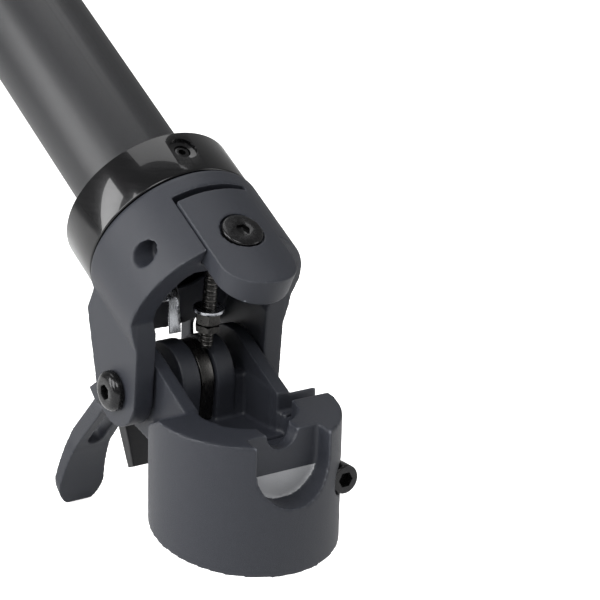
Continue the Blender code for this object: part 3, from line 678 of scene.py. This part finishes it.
def clamp_casting():
    base = cylinder("clamp_casting", "Z", BASE_RADIUS, -8.0, RIM_HEIGHT + 8.0, sides=FINE_SIDES)
    size = 90.0
    above = moved(box("above", (-size, -size, 0), (size, size, 60)),
                  Matrix.Translation((0, 0, RIM_HEIGHT * MM)) @ Matrix.Rotation(RIM_SLOPE, 4, "X"))
    cut(base, above)
    below = moved(box("below", (-size, -size, -60), (size, size, 0)), Matrix.Rotation(FOOT_SLOPE, 4, "X"))
    cut(base, below)
    cut(base, cylinder("steerer_bore", "Z", STEERER_RADIUS, -20.0, BORE_TOP, sides=BORE_SIDES))
    cut(base, cylinder("cable_bore", "Z", CABLE_RADIUS, BORE_TOP - 5.0, CUP_FLOOR + 5.0))
    cut(base, cylinder("cup", "Z", CUP_RADIUS, CUP_FLOOR, RIM_HEIGHT + 20.0, sides=BORE_SIDES))
    rear_room = CHEEK_INNER - 0.4
    cut(base, box("rear_room", (-rear_room, 0, CUP_FLOOR), (rear_room, KNUCKLE_FOOT, 60)))
    touch = tangent_point(EAR_START, HINGE_YZ, EAR_RADIUS + 0.6, -1)
    room = [EAR_START, touch, *arc(HINGE_YZ, EAR_RADIUS + 0.6, angle_of(touch, HINGE_YZ), 0, 24)]
    room += [(HINGE_Y + 20, HINGE_Z), (HINGE_Y + 20, 70), (EAR_START_Y, 70)]
    room = [(y - 0.25, z - 0.4) for y, z in room]
    for side in (-1, 1):
        cut(base, prism("ear_room", "YZ", room, side * (CHEEK_OUTER - 0.1), side * 45.0))
    for side in (-1, 1):
        join(base, prism("cheek", "YZ", cheek_outline(), side * CHEEK_INNER, side * CHEEK_OUTER))
        join(base, prism("knuckle", "YZ", knuckle_outline(), side * KNUCKLE_INNER, side * KNUCKLE_OUTER))
    cut(base, box("plate_slot", (-KNUCKLE_INNER, CUP_RADIUS - 6, CUP_FLOOR), (KNUCKLE_INNER, 60, 80)))
    cut_latch_pocket(base)
    cut_pinch(base)
    cut(base, cylinder("hinge_bore", "X", HINGE_PIN_RADIUS + GAP, -40, 40, (0, HINGE_Y, HINGE_Z)))
    soften(base, CLAMP_CELL, 4)
    place_piece(base, "casting", "base", "clamp_base")
    paint_raw_skin_painted_lit(base)


def u_outline(half_width, bottom, top):
    """A slot open at the top with a half-round lower end, in XZ."""
    centre = (0.0, bottom + half_width)
    return [(half_width, top), (-half_width, top), *arc(centre, half_width, 180, 360, 64)]


def cut_latch_pocket(base):
    outline = u_outline(LATCH_HALF_WIDTH + LATCH_GAP, POCKET_BOTTOM, 70.0)
    back = -(BASE_RADIUS - POCKET_DEPTH)
    cut(base, prism("latch_pocket", "XZ", outline, -45.0, back))
    spot = (0, 0, rim_z(back))
    cut(base, cylinder("tab_notch", "Y", TAB_RADIUS + GAP, back - 2.0, -CUP_RADIUS + 4.0, spot))


def paint_raw_skin_painted_lit(base):
    """Leaves the foot of the pocket's back wall as rough as it was cast, and lighter than the coat: partly
    the raw skin's own colour, partly painted light that stands in for a lit shelf facing up.
    """
    base.data.materials.append(LOOKS["raw_cast_painted_lit"])
    back = -(BASE_RADIUS - POCKET_DEPTH)
    for face in base.data.polygons:
        x, y, z = face.center / MM
        # these faces of the wall's foot get the lighter skin with its painted light
        on_wall = abs(x) < LATCH_HALF_WIDTH and abs(y - back) < 0.6 and face.normal.y < -0.6
        if on_wall and POCKET_BOTTOM < z < PAINTED_LIT_SKIN_TOP:
            face.material_index = 1


def cut_pinch(base):
    slit = moved(box("slit", (0, -SLIT_WIDTH / 2, -20), (45, SLIT_WIDTH / 2, 60)),
                 Matrix.Rotation(math.radians(SLIT_ANGLE - 90.0), 4, "Z"))
    cut(base, slit)
    cut(base, box("slit_notch", (CUP_RADIUS - 5, -2, rim_z(0) - SLIT_NOTCH_DEPTH),
                  (45, -2 + SLIT_NOTCH_WIDTH, RIM_HEIGHT + 10)))
    centre = (PINCH_X, 0, PINCH_Z)
    cut(base, cylinder("pinch_bore", "Y", PINCH_RADIUS + GAP, -40, 40, centre))
    cut(base, cylinder("pinch_head_seat", "Y", PINCH_HEAD_RADIUS + 0.8, -45, -PINCH_SEAT_Y, centre))
    cut(base, cylinder("pinch_nut_seat", "Y", PINCH_HEAD_RADIUS + 0.6, PINCH_SEAT_Y + 1.5, 45, centre))
    bore = cylinder("set_screw_bore", "Z", SET_SCREW_RADIUS + GAP, 0, 30)
    cut(base, point_outwards(bore, SET_SCREW_ANGLE, STEERER_RADIUS - 3.0, SET_SCREW_Z))


def point_outwards(obj, angle, start, z):
    """Lays a Z shape on its side so that it runs outwards from the Z axis."""
    heading = around(angle, 1.0, 0.0)
    turn = heading.to_track_quat("Z", "Y").to_matrix().to_4x4()
    return moved(obj, Matrix.Translation((heading * start + Vector((0, 0, z))) * MM) @ turn)


def hexagon(name, axis, across, start, end, centre):
    return cylinder(name, axis, across / math.sqrt(3), start, end, centre, sides=6)


def pinch_hardware():
    centre = (PINCH_X, 0, PINCH_Z)
    seat = -PINCH_SEAT_Y - GAP
    crown = seat - PINCH_HEAD_HEIGHT
    bolt = cylinder("pinch_bolt_head", "Y", PINCH_HEAD_RADIUS, crown, seat, centre, edge=0.6)
    join(bolt, cylinder("shank", "Y", PINCH_RADIUS, seat - 1.0, 25.5, centre, edge=0.3))
    cut(bolt, hexagon("socket", "Y", 5.0, crown - 2, crown + 3.2, centre))
    place_piece(bolt, "black_steel", "base", "pinch_bolt")
    start = PINCH_SEAT_Y + 1.5 + GAP
    nut = hex_nut("pinch_hex_nut", PINCH_HEAD_RADIUS, PINCH_RADIUS + GAP, start, start + 5.0, centre)
    place_piece(nut, "black_steel", "base", "pinch_nut")
    screw = cylinder("grub_screw", "Z", SET_SCREW_RADIUS, 0, SET_SCREW_LENGTH, sides=64, edge=0.3)
    cut(screw, hexagon("socket", "Z", 2.1, SET_SCREW_LENGTH - 2.0, SET_SCREW_LENGTH + 2.0, (0, 0, 0)))
    point_outwards(screw, SET_SCREW_ANGLE, STEERER_RADIUS + 4.5, SET_SCREW_Z)
    place_piece(screw, "black_steel", "base", "set_screw")


def hex_nut(name, radius, hole, start, end, centre):
    """A hexagon nut along Y with its corners turned down at both faces."""
    nut = cylinder(name, "Y", radius, start, end, centre, sides=6)
    drop = radius * 0.134
    crown = [(radius - drop, start), (radius + 0.05, start + drop * 0.6), (radius + 0.05, end - drop * 0.6),
             (radius - drop, end)]
    meet(nut, lathe("crown", "Y", crown, centre, 96))
    cut(nut, cylinder("thread", "Y", hole, start - 5, end + 5, centre, 64))
    return bevelled(nut, 0.12, 2)


def hinge_hardware():
    centre = (0, HINGE_Y, HINGE_Z)
    for name, side in (("left", -1), ("right", 1)):
        seat = side * (EAR_OUTER + GAP)
        crown = seat + side * HINGE_HEAD_HEIGHT
        dome = 2.6
        profile = [(HINGE_HEAD_RADIUS - 0.2, seat), (HINGE_HEAD_RADIUS, seat + side * 0.3)]
        for step in range(13):
            angle = math.radians(90.0 * step / 12)
            profile.append((HINGE_HEAD_RADIUS - dome * (1 - math.cos(angle)) * 1.15,
                            crown - side * dome * (1 - math.sin(angle))))
        bolt = lathe(f"button_bolt_{name}", "X", profile, centre)
        join(bolt, cylinder("shank", "X", HINGE_PIN_RADIUS, seat + side, side * 12.2, centre, edge=0.3))
        cut(bolt, hexagon("socket", "X", 5.0, crown + side * 2, crown - side * 2.6, centre))
        bevelled(bolt, 0.14, 2, 40)
        place_piece(bolt, "black_steel", "base", f"hinge_bolt_{name}")
        end = side * (EAR_INNER - GAP)
        washer = ring(f"friction_washer_{name}", "X", 9.0, HINGE_PIN_RADIUS + GAP,
                      end, end - side * WASHER_THICKNESS, centre, edge=0.12)
        place_piece(washer, "steel", "base", f"hinge_washer_{name}")
    pin = cylinder("hinge_centre_pin", "X", HINGE_PIN_RADIUS, -11.6, 11.6, centre, edge=0.4)
    place_piece(pin, "steel", "base", "centre_pin")


def strike_hardware():
    low = CUP_FLOOR + 1.0
    radius = KNUCKLE_RADIUS - 1.0
    outline = [(KNUCKLE_FOOT + 1.0, low), (BASE_RADIUS - 4.0, low), *arc(HINGE_YZ, radius, -50, 186, 72)]
    plate = prism("strike_disc", "YZ", outline, -PLATE_HALF_THICKNESS, PLATE_HALF_THICKNESS)
    cut(plate, cylinder("bore", "X", HINGE_PIN_RADIUS + GAP, -9, 9, (0, HINGE_Y, HINGE_Z)))
    angle = math.radians(146)
    reach = radius - 2.8
    spot = (0, HINGE_Y + reach * math.cos(angle), HINGE_Z + reach * math.sin(angle))
    cut(plate, cylinder("nose_bore", "X", 1.9, -9, 9, spot, 48))
    bevelled(plate, 0.3)
    place_piece(plate, "steel", "base", "strike_plate")
    pin = cylinder("strike_nose_pin", "X", 1.6, -3.0, 3.0, spot, 64, edge=0.35)
    place_piece(pin, "bright_steel", "base", "nose_pin", slot="steel")


# ---------------------------------------------------------------- head

def ear_outline():
    low = tangent_point(EAR_START, HINGE_YZ, EAR_RADIUS, -1)
    shoulder = (24.0, HEAD_TOP - 3.0)
    high = tangent_point(shoulder, HINGE_YZ, EAR_RADIUS, 1)
    curve = arc(HINGE_YZ, EAR_RADIUS, angle_of(low, HINGE_YZ), angle_of(high, HINGE_YZ), 60)
    return [EAR_START, *curve, shoulder, (0.0, HEAD_TOP - 3.0), (0.0, EAR_START[1])]


def head_casting():
    head = cylinder("head_casting", "Z", BASE_RADIUS, RIM_HEIGHT - 8.0, HEAD_TOP, sides=FINE_SIDES, edge=1.6)
    below = [(-60, 0), (-60, rim_z(-60)), EAR_START]
    below += [tangent_point(EAR_START, HINGE_YZ, EAR_RADIUS, -1), (HINGE_Y, 0)]
    cut(head, prism("parting", "YZ", [(y, z + 0.2) for y, z in below], -45, 45))
    for side in (-1, 1):
        join(head, prism("ear", "YZ", ear_outline(), side * (EAR_INNER - 4), side * EAR_OUTER))
    cut_cavity(head)
    lug = [(26.0, HEAD_TOP - 2.0), (26.0, HEAD_ROOF + 0.6), (34.0, HEAD_ROOF + 0.6)]
    lug += arc((LEVER_Y, LEVER_Z), LEVER_ROOT_RADIUS - 0.3, 190, 410, 40)
    lug += [(BASE_RADIUS - 2.0, HEAD_TOP - 2.0)]
    for side in (-1, 1):
        join(head, prism("lever_lug", "YZ", lug, side * LEVER_LUG_INNER, side * LEVER_LUG_OUTER))
    cut(head, cylinder("lever_bore", "X", LEVER_PIN_RADIUS + GAP, -14, 14, (0, LEVER_Y, LEVER_Z)))
    cut_latch_seat(head)
    cut(head, cylinder("hinge_eye", "X", HINGE_PIN_RADIUS + GAP, -45, 45, (0, HINGE_Y, HINGE_Z)))
    cut(head, cylinder("tube_socket", "Z", TUBE_RADIUS + GAP, TUBE_FOOT - GAP, 90, sides=BORE_SIDES))
    cut(head, cylinder("cable_way", "Z", 13.0, HEAD_ROOF - 5, TUBE_FOOT + 5))
    cut_draw_pin_holes(head)
    soften(head, HEAD_CELL, 4)
    return place_piece(head, "casting", "stem", "hinge_head")


def cut_cavity(head):
    back = -(BASE_RADIUS - POCKET_DEPTH) + FRONT_WALL
    hollow = cylinder("cavity", "Z", CAVITY_RADIUS, 20.0, HEAD_ROOF, sides=BORE_SIDES)
    meet(hollow, box("cavity_front", (-40, back, 0), (40, 40, 90)))
    cut(head, hollow)
    cut(head, box("cavity_rear", (-EAR_INNER, 0, 20), (EAR_INNER, 80, HEAD_ROOF)))
    for side in (-1, 1):
        near, far = sorted((side * (ARM_INNER - 0.4), side * (ARM_OUTER + 0.4)))
        cut(head, box("arm_room", (near, 30.0, HEAD_ROOF - 2), (far, 80, 90)))


def cut_latch_seat(head):
    back = -(BASE_RADIUS - POCKET_DEPTH)
    half = LATCH_HALF_WIDTH + LATCH_GAP
    cut(head, box("latch_seat", (-half, -60, 0), (half, back, LATCH_TOP + LATCH_TOP_GAP)))
    join(head, cylinder("tab", "Y", TAB_RADIUS, back, back + FRONT_WALL, (0, 0, rim_z(back))))
    cut(head, cylinder("latch_thread", "Y", 3.3, -60, back + FRONT_WALL + 5, (0, 0, LATCH_SCREW_Z)))


def cut_draw_pin_holes(head):
    centre = (0, DRAW_Y, DRAW_Z)
    cut(head, cylinder("draw_bore", "X", DRAW_PIN_RADIUS + GAP, -45, 45, centre))
    for side in (-1, 1):
        cut(head, cylinder("side_hole", "X", SIDE_HOLE_RADIUS, side * 21.5, side * 45, centre))
    half = PLATE_HALF_THICKNESS + 0.5
    reach = DRAW_EYE_RADIUS + 0.8
    cut(head, box("eye_room", (-half, -30, DRAW_Z - reach), (half, DRAW_Y + 5, DRAW_Z + reach)))


def latch():
    outline = u_outline(LATCH_HALF_WIDTH, POCKET_BOTTOM + 1.4, LATCH_TOP)
    back = -(BASE_RADIUS - LATCH_THICKNESS)
    plate = prism("latch_tongue", "XZ", outline, -BASE_RADIUS - 3, back)
    meet(plate, cylinder("plate_face", "Z", BASE_RADIUS + 0.6, 0, 90, sides=FINE_SIDES))
    seat = -BASE_RADIUS + 1.9
    spot = (0, 0, LATCH_SCREW_Z)
    cut(plate, cylinder("screw_seat", "Y", LATCH_SCREW_RADIUS + 0.6, -50, seat, spot))
    cut(plate, cylinder("screw_way", "Y", 3.3, -50, 0, spot))
    soften(plate, PLATE_CELL, 4)
    place_piece(plate, "casting", "stem", "latch_plate")
    crown = seat - GAP - 2.4
    screw = cylinder("latch_button_screw", "Y", LATCH_SCREW_RADIUS, crown, seat - GAP, spot, edge=0.7)
    join(screw, cylinder("shank", "Y", 3.0, seat - 1.5, back + 5.0, spot, edge=0.2))
    cut(screw, hexagon("recess", "Y", 4.6, crown - 3, seat - GAP - 0.9, spot))
    bevelled(screw, 0.12, 2, 40)
    place_piece(screw, "black_steel", "stem", "latch_screw")


def collar():
    low = HEAD_TOP + 0.4
    high = low + COLLAR_HEIGHT
    made = ring("clamp_collar", "Z", COLLAR_RADIUS, TUBE_RADIUS + GAP, low, high, sides=FINE_SIDES, edge=0.7)
    spot = (0, 0, (low + high) / 2 + 1.5)
    outer = -COLLAR_RADIUS
    cut(made, cylinder("thread", "Y", COLLAR_SCREW_RADIUS + GAP, -50, -10, spot))
    cut(made, cylinder("recess", "Y", 5.0, -50, outer + 1.4, spot))
    bevelled(made, 0.15, 2, 40)
    place_piece(made, "gloss_black", "stem", "lock_collar")
    screw = cylinder("collar_hex_screw", "Y", COLLAR_SCREW_RADIUS, outer + 1.8, outer + 9.8, spot, 64,
                     edge=0.3)
    cut(screw, hexagon("socket", "Y", 2.5, outer, outer + 4.0, spot))
    place_piece(screw, "black_steel", "stem", "collar_screw")


def stadium(across, up, width, length, steps=28):
    """A round-ended slot standing upright, centred on across and up."""
    half = width / 2
    rise = (length - width) / 2
    return arc((across, up + rise), half, 0, 180, steps) + arc((across, up - rise), half, 180, 360, steps)


def tube():
    inner = TUBE_RADIUS - TUBE_WALL
    made = ring("stem_tube_finish", "Z", TUBE_RADIUS, inner, TUBE_FOOT, TUBE_TOP, sides=FINE_SIDES, edge=0.5)
    for drop in (8.5, 37.5):
        cut(made, cylinder("clamp_hole", "Y", 5.2, -40, 0, (0, 0, TUBE_TOP - drop)))
    cut(made, prism("cable_window", "XZ", stadium(0, TUBE_TOP - 109, 17.0, 24.0), -40, 0))
    cut(made, prism("plug_window", "YZ", stadium(0, PLUG_CENTRE_Z, PLUG_WIDTH, PLUG_LENGTH), 0, 40))
    bevelled(made, 0.25, 2, 40)
    place_piece(made, "anodised", "stem", "stem_tube")
    slot = stadium(0, PLUG_CENTRE_Z, PLUG_WIDTH - 2 * GAP, PLUG_LENGTH - 2 * GAP)
    plug = prism("cable_plug", "YZ", slot, inner - 2.5, 40)
    meet(plug, cylinder("plug_face", "Z", TUBE_RADIUS - 0.2, 100, 200, sides=BORE_SIDES))
    bevelled(plug, 0.3, 3, 40)
    place_piece(plug, "plastic", "stem", "tube_plug")


# ---------------------------------------------------------------- draw rod

def thread_tree():
    """Geometry nodes that wind a screw thread up the Z axis."""
    tree = bpy.data.node_groups.new("screw_thread", "GeometryNodeTree")
    sockets = {}
    for label, kind, value in (("Radius", "NodeSocketFloat", 0.0025), ("Pitch", "NodeSocketFloat", 0.0008),
                               ("Turns", "NodeSocketFloat", 20.0), ("Tooth", "NodeSocketFloat", 0.0003)):
        socket = tree.interface.new_socket(label, in_out="INPUT", socket_type=kind)
        socket.default_value = value
        sockets[label] = socket.identifier
    skin = tree.interface.new_socket("Material", in_out="INPUT", socket_type="NodeSocketMaterial")
    sockets["Material"] = skin.identifier
    tree.interface.new_socket("Geometry", in_out="OUTPUT", socket_type="NodeSocketGeometry")
    given = tree.nodes.new("NodeGroupInput")
    out = tree.nodes.new("NodeGroupOutput")
    coil = tree.nodes.new("GeometryNodeCurveSpiral")
    coil.inputs["Resolution"].default_value = 32
    rise = math_node(tree, "MULTIPLY", given.outputs["Pitch"], given.outputs["Turns"])
    tree.links.new(given.outputs["Turns"], coil.inputs["Rotations"])
    tree.links.new(given.outputs["Radius"], coil.inputs["Start Radius"])
    tree.links.new(given.outputs["Radius"], coil.inputs["End Radius"])
    tree.links.new(rise, coil.inputs["Height"])
    tooth = tree.nodes.new("GeometryNodeCurvePrimitiveCircle")
    tooth.inputs["Resolution"].default_value = 6
    tree.links.new(given.outputs["Tooth"], tooth.inputs["Radius"])
    sweep = tree.nodes.new("GeometryNodeCurveToMesh")
    sweep.inputs["Fill Caps"].default_value = True
    tree.links.new(coil.outputs[0], sweep.inputs["Curve"])
    tree.links.new(tooth.outputs[0], sweep.inputs["Profile Curve"])
    real = tree.nodes.new("GeometryNodeRealizeInstances")
    paint = tree.nodes.new("GeometryNodeSetMaterial")
    tree.links.new(sweep.outputs[0], real.inputs[0])
    tree.links.new(real.outputs[0], paint.inputs["Geometry"])
    tree.links.new(given.outputs["Material"], paint.inputs["Material"])
    tree.links.new(paint.outputs[0], out.inputs[0])
    return tree, sockets


def wind_thread(name, radius, length, look):
    tree, sockets = thread_tree()
    obj = bpy.data.objects.new(name, bpy.data.meshes.new(name))
    bpy.context.scene.collection.objects.link(obj)
    step = obj.modifiers.new("thread", "NODES")
    step.node_group = tree
    values = {"Radius": radius * MM, "Pitch": THREAD_PITCH * MM, "Turns": length / THREAD_PITCH,
              "Tooth": THREAD_PITCH * 0.42 * MM, "Material": LOOKS[look]}
    for label, value in values.items():
        step[sockets[label]] = value
    return bake(obj)


def tilted(obj):
    return moved(obj, turn_about(DRAW, DRAW_TILT))


def draw_gear():
    centre = (0, DRAW_Y, DRAW_Z)
    pin = cylinder("draw_cross_pin", "X", DRAW_PIN_RADIUS, -21.0, 21.0, centre, 64, edge=0.4)
    place_piece(pin, "steel", "stem", "draw_pin")
    rod = cylinder("threaded_draw_rod", "X", DRAW_EYE_RADIUS, -PLATE_HALF_THICKNESS, PLATE_HALF_THICKNESS,
                   centre, edge=0.5)
    along = DRAW_Y + DRAW_EYE_RADIUS - 1.0
    core = ROD_RADIUS - 0.15
    join(rod, tilted(cylinder("core", "Y", core, along, DRAW_Y + DRAW_LENGTH, centre, 64, edge=0.5)))
    cut(rod, cylinder("eye", "X", DRAW_PIN_RADIUS + GAP, -9, 9, centre, 64))
    place_piece(rod, "steel", "rod", "draw_rod")
    start = DRAW_Y + DRAW_EYE_RADIUS + 3.0
    thread = wind_thread("draw_rod_thread", core, DRAW_Y + DRAW_LENGTH - 1.2 - start, "steel")
    moved(thread, Matrix.Translation(Vector((0, start, DRAW_Z)) * MM) @ TO_AXIS["Y"])
    place_piece(tilted(thread), "steel", "rod")
    for name, node, first, last in (("draw_hex_nut", "draw_nut", 26.0, 30.0),
                                    ("draw_jam_nut", "draw_locknut", 30.5, 33.0)):
        nut = hex_nut(name, 4.6, ROD_RADIUS + GAP, DRAW_Y + first, DRAW_Y + last, centre)
        place_piece(tilted(nut), "steel", "rod", node)
    washer = ring("draw_flat_washer", "Y", 5.4, 2.6, DRAW_Y + 24.4, DRAW_Y + 25.6, centre, edge=0.15)
    place_piece(tilted(washer), "bright_steel", "rod", "draw_washer", slot="steel")


def strip_outline(points, shift):
    """A thin bent strip: the points and the same points moved by its thickness."""
    return [*points, *[(y + shift[0], z + shift[1]) for y, z in reversed(points)]]


def leaf():
    shift = (0.55, 0.7)
    bend = (5.6, 53.2)
    wide = [(-1.0, HEAD_ROOF - GAP - shift[1]), (2.6, 57.5), bend]
    made = prism("spring_leaf", "YZ", strip_outline(wide, shift), -16.0, -8.0)
    join(made, prism("tongue", "YZ", strip_outline([(4.8, 54.2), bend, (15.4, 46.6)], shift), -12.6, -8.2))
    bevelled(made, 0.1, 2, 40)
    place_piece(made, "bright_steel", "stem", "release_leaf", slot="steel")


# ---------------------------------------------------------------- lever

LEVER_BACK = ((48.0, 68.0), (47.2, 80.0), (45.2, 92.0), (44.0, 100.0), (44.0, 128.0), (45.0, 136.0),
              (47.2, 144.0), (50.4, 151.5), (55.0, 160.5))
LEVER_FRONT = ((53.6, 162.4), (51.5, BLADE_TIP_Z), (46.0, 153.0), (41.8, 144.0), (38.8, 135.0), (37.6, 126.0),
               (37.6, 103.0), (38.6, 92.0), (40.6, 80.0), (40.2, 68.0))


def eased(points, steps=5):
    """A smooth line through the points."""
    line = []
    for index in range(len(points) - 1):
        before = Vector(points[max(index - 1, 0)])
        here, there = Vector(points[index]), Vector(points[index + 1])
        after = Vector(points[min(index + 2, len(points) - 1)])
        for step in range(steps):
            t = step / steps
            line.append(tuple(0.5 * (2 * here + (there - before) * t
                                     + (2 * before - 5 * here + 4 * there - after) * t ** 2
                                     + (3 * here - before - 3 * there + after) * t ** 3)))
    return [*line, tuple(points[-1])]


def lever_front_outline():
    """The lever seen from behind: a rounded blade on a neck that forks into two arms."""
    tip = BLADE_TIP_Z + 0.5 - BLADE_HALF_WIDTH
    blade = arc((0, tip), BLADE_HALF_WIDTH, 0, 180, 48)
    left = [(-BLADE_HALF_WIDTH, tip), (-NECK_HALF_WIDTH - 0.6, 138), (-NECK_HALF_WIDTH, 130),
            (-NECK_HALF_WIDTH, 104), (-NECK_HALF_WIDTH - 3.4, 97), (-ARM_OUTER, 91), (-ARM_OUTER, 50)]
    left = [*eased(left[:-1])[1:], left[-1]]
    arch = arc((0, 82), ARM_INNER, 180, 0, 48)
    right = [(-x, z) for x, z in reversed(left)]
    return [*blade, *left, (-ARM_INNER, 50), *arch, (ARM_INNER, 50), *right]


def lever_piece():
    root = arc((LEVER_Y, LEVER_Z), LEVER_ROOT_RADIUS, 160, 370, 48)
    side = [*eased(LEVER_BACK), *eased(LEVER_FRONT), *root]
    handle = prism("release_lever", "YZ", side, -ARM_OUTER, ARM_OUTER)
    meet(handle, prism("front", "XZ", lever_front_outline(), 15, 70))
    cut(handle, prism("slot", "XZ", stadium(0, 118.5, 6.6, 28.0), 15, 70))
    low, high = CATCH_HALF_WIDTH + 0.4, NECK_HALF_WIDTH
    lug = arc((CATCH_Y, CATCH_Z), 3.4, -110, 100, 32) + [(41.0, CATCH_Z + 5), (41.0, CATCH_Z - 4)]
    for sign in (-1, 1):
        join(handle, prism("lug", "YZ", lug, sign * low, sign * high))
    cut(handle, box("catch_room", (-low, CATCH_Y - 3.6, CATCH_Z - 8.0), (low, CATCH_Y + 6.0, CATCH_Z + 3.6)))
    cut(handle, cylinder("eye", "X", LEVER_PIN_RADIUS + GAP, -40, 40, (0, LEVER_Y, LEVER_Z)))
    cut(handle, cylinder("catch_bore", "X", CATCH_PIN_RADIUS + GAP, -40, 40, (0, CATCH_Y, CATCH_Z), 48))
    soften(handle, LEVER_CELL, 4)
    place_piece(handle, "casting", "lever", "lever_handle")


def lever_fittings():
    pin = cylinder("lever_cross_pin", "X", LEVER_PIN_RADIUS, -ARM_OUTER, ARM_OUTER, (0, LEVER_Y, LEVER_Z), 64,
                   edge=0.4)
    place_piece(pin, "steel", "stem", "lever_pin")
    bumper = bevelled(box("rubber_bumper", (-5.0, 30.6, 96.6), (5.0, 35.6, 104.0)), 1.2, 5)
    place_piece(bumper, "plastic", "lever", "lever_bumper")
    reach = NECK_HALF_WIDTH - 0.4
    spot = (0, CATCH_Y, CATCH_Z)
    pin = cylinder("catch_cross_pin", "X", CATCH_PIN_RADIUS, -reach, reach, spot, 48, edge=0.3)
    place_piece(pin, "steel", "lever", "catch_pin")


def catch_piece():
    outer = arc((CATCH_Y, CATCH_Z), 3.1, 55, 180, 30)
    leg = [(CATCH_Y - 3.1, CATCH_Z - 12), (CATCH_Y - 2.4, CATCH_Z - CATCH_REACH),
           (CATCH_Y + 1.8, CATCH_Z - CATCH_REACH), (CATCH_Y + 2.4, CATCH_Z - 5.0)]
    nub = [(CATCH_Y + 4.9, CATCH_Z - 1.2), (CATCH_Y + 5.2, CATCH_Z + 0.2), (CATCH_Y + 4.8, CATCH_Z + 1.2)]
    block = prism("catch_block", "YZ", [*outer, *leg, *nub], -CATCH_HALF_WIDTH, CATCH_HALF_WIDTH)
    cut(block, cylinder("eye", "X", CATCH_PIN_RADIUS + GAP, -20, 20, (0, CATCH_Y, CATCH_Z), 48))
    soften(block, CATCH_CELL, 3)
    place_piece(block, "plastic", "catch", "safety_catch")


# ---------------------------------------------------------------- scene

FLOOR_HALF_WIDTH = 4.0
FLOOR_DROP = 0.0002
FLOOR_GLOW = 0.85


def floor():
    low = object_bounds()[0]
    shape = bmesh.new()
    bmesh.ops.create_grid(shape, x_segments=1, y_segments=1, size=FLOOR_HALF_WIDTH)
    ground = object_from("studio_floor", shape)
    ground.data.transform(Matrix.Translation((0, 0, low.z - FLOOR_DROP)))
    made, tree, shader = base_material("studio_paper", 0.9, 0.0)
    place = object_place(tree)
    tone = mix_colour(tree, noise(tree, place, 8.0, 3.0), (0.90, 0.90, 0.90), (0.93, 0.93, 0.93))
    tree.links.new(tone, shader.inputs["Base Color"])
    lay_bump(tree, shader, noise(tree, place, 900.0, 2.0), 0.1, 0.05)
    glow = math_node(tree, "MULTIPLY", tree.nodes.new("ShaderNodeLightPath").outputs["Is Camera Ray"],
                     FLOOR_GLOW)
    shader.inputs["Emission Color"].default_value = (1.0, 1.0, 1.0, 1.0)
    tree.links.new(glow, shader.inputs["Emission Strength"])
    ground.data.materials.append(made)


def area_light(name, place, target, size, power):
    data = bpy.data.lights.new(name, "AREA")
    data.shape = "RECTANGLE"
    data.size, data.size_y = size
    data.energy = power
    lamp = bpy.data.objects.new(name, data)
    lamp.location = place
    lamp.rotation_mode = "QUATERNION"
    lamp.rotation_quaternion = (Vector(target) - Vector(place)).to_track_quat("-Z", "Y")
    bpy.context.scene.collection.objects.link(lamp)


WORLD_FILL = 0.3


def lights():
    aim = (0.0, 0.02, 0.07)
    area_light("key_softbox", (-0.45, -0.8, 1.05), aim, (0.6, 0.6), 8.0)
    area_light("left_softbox", (-1.1, -0.1, 0.75), aim, (0.5, 0.9), 11.0)
    area_light("right_softbox", (0.9, -0.7, 0.35), aim, (0.4, 0.9), 2.5)
    area_light("strip_softbox", (-1.0, 0.48, 0.42), aim, (0.28, 0.9), 7.0)
    area_light("top_softbox", (0.1, 0.5, 1.3), aim, (1.0, 0.7), 5.0)
    world = bpy.data.worlds.new("studio_white")
    world.use_nodes = True
    tree = world.node_tree
    sky = tree.nodes["Background"]
    sky.inputs["Color"].default_value = (1.0, 1.0, 1.0, 1.0)
    seen = tree.nodes.new("ShaderNodeLightPath").outputs["Is Camera Ray"]
    tree.links.new(map_range(tree, seen, 0.0, 1.0, WORLD_FILL, 1.0), sky.inputs["Strength"])
    bpy.context.scene.world = world
    bpy.context.scene.view_settings.view_transform = "Standard"


# Viewing direction of the camera in degrees, its aim in millimetres and its reach
VIEW_AZIMUTH = -35.064
VIEW_ELEVATION = 18.237
VIEW_ROLL = 1.414
VIEW_AIM = Vector((-14.029, -50.645, 98.878))
VIEW_DISTANCE = 718.99
VIEW_LENS = 138.3


def camera():
    azimuth, elevation, roll = (math.radians(a) for a in (VIEW_AZIMUTH, VIEW_ELEVATION, VIEW_ROLL))
    back = Vector((math.sin(azimuth) * math.cos(elevation), -math.cos(azimuth) * math.cos(elevation),
                   math.sin(elevation)))
    right = (-back).cross(Vector((0, 0, 1))).normalized()
    up = right.cross(-back)
    across = right * math.cos(roll) + up * math.sin(roll)
    upright = up * math.cos(roll) - right * math.sin(roll)
    data = bpy.data.cameras.new("product_camera")
    data.lens = VIEW_LENS
    data.sensor_width = 36.0
    data.clip_start, data.clip_end = 0.01, 20.0
    data.dof.use_dof = False
    obj = bpy.data.objects.new("product_camera", data)
    place = (VIEW_AIM + back * VIEW_DISTANCE) * MM
    turn = Matrix((across, upright, back)).transposed().to_4x4()
    obj.matrix_world = Matrix.Translation(place) @ turn
    bpy.context.scene.collection.objects.link(obj)
    bpy.context.scene.camera = obj


clamp_casting()
pinch_hardware()
hinge_hardware()
strike_hardware()
head_casting()
latch()
collar()
tube()
draw_gear()
leaf()
lever_piece()
lever_fittings()
catch_piece()
floor()
lights()
camera()
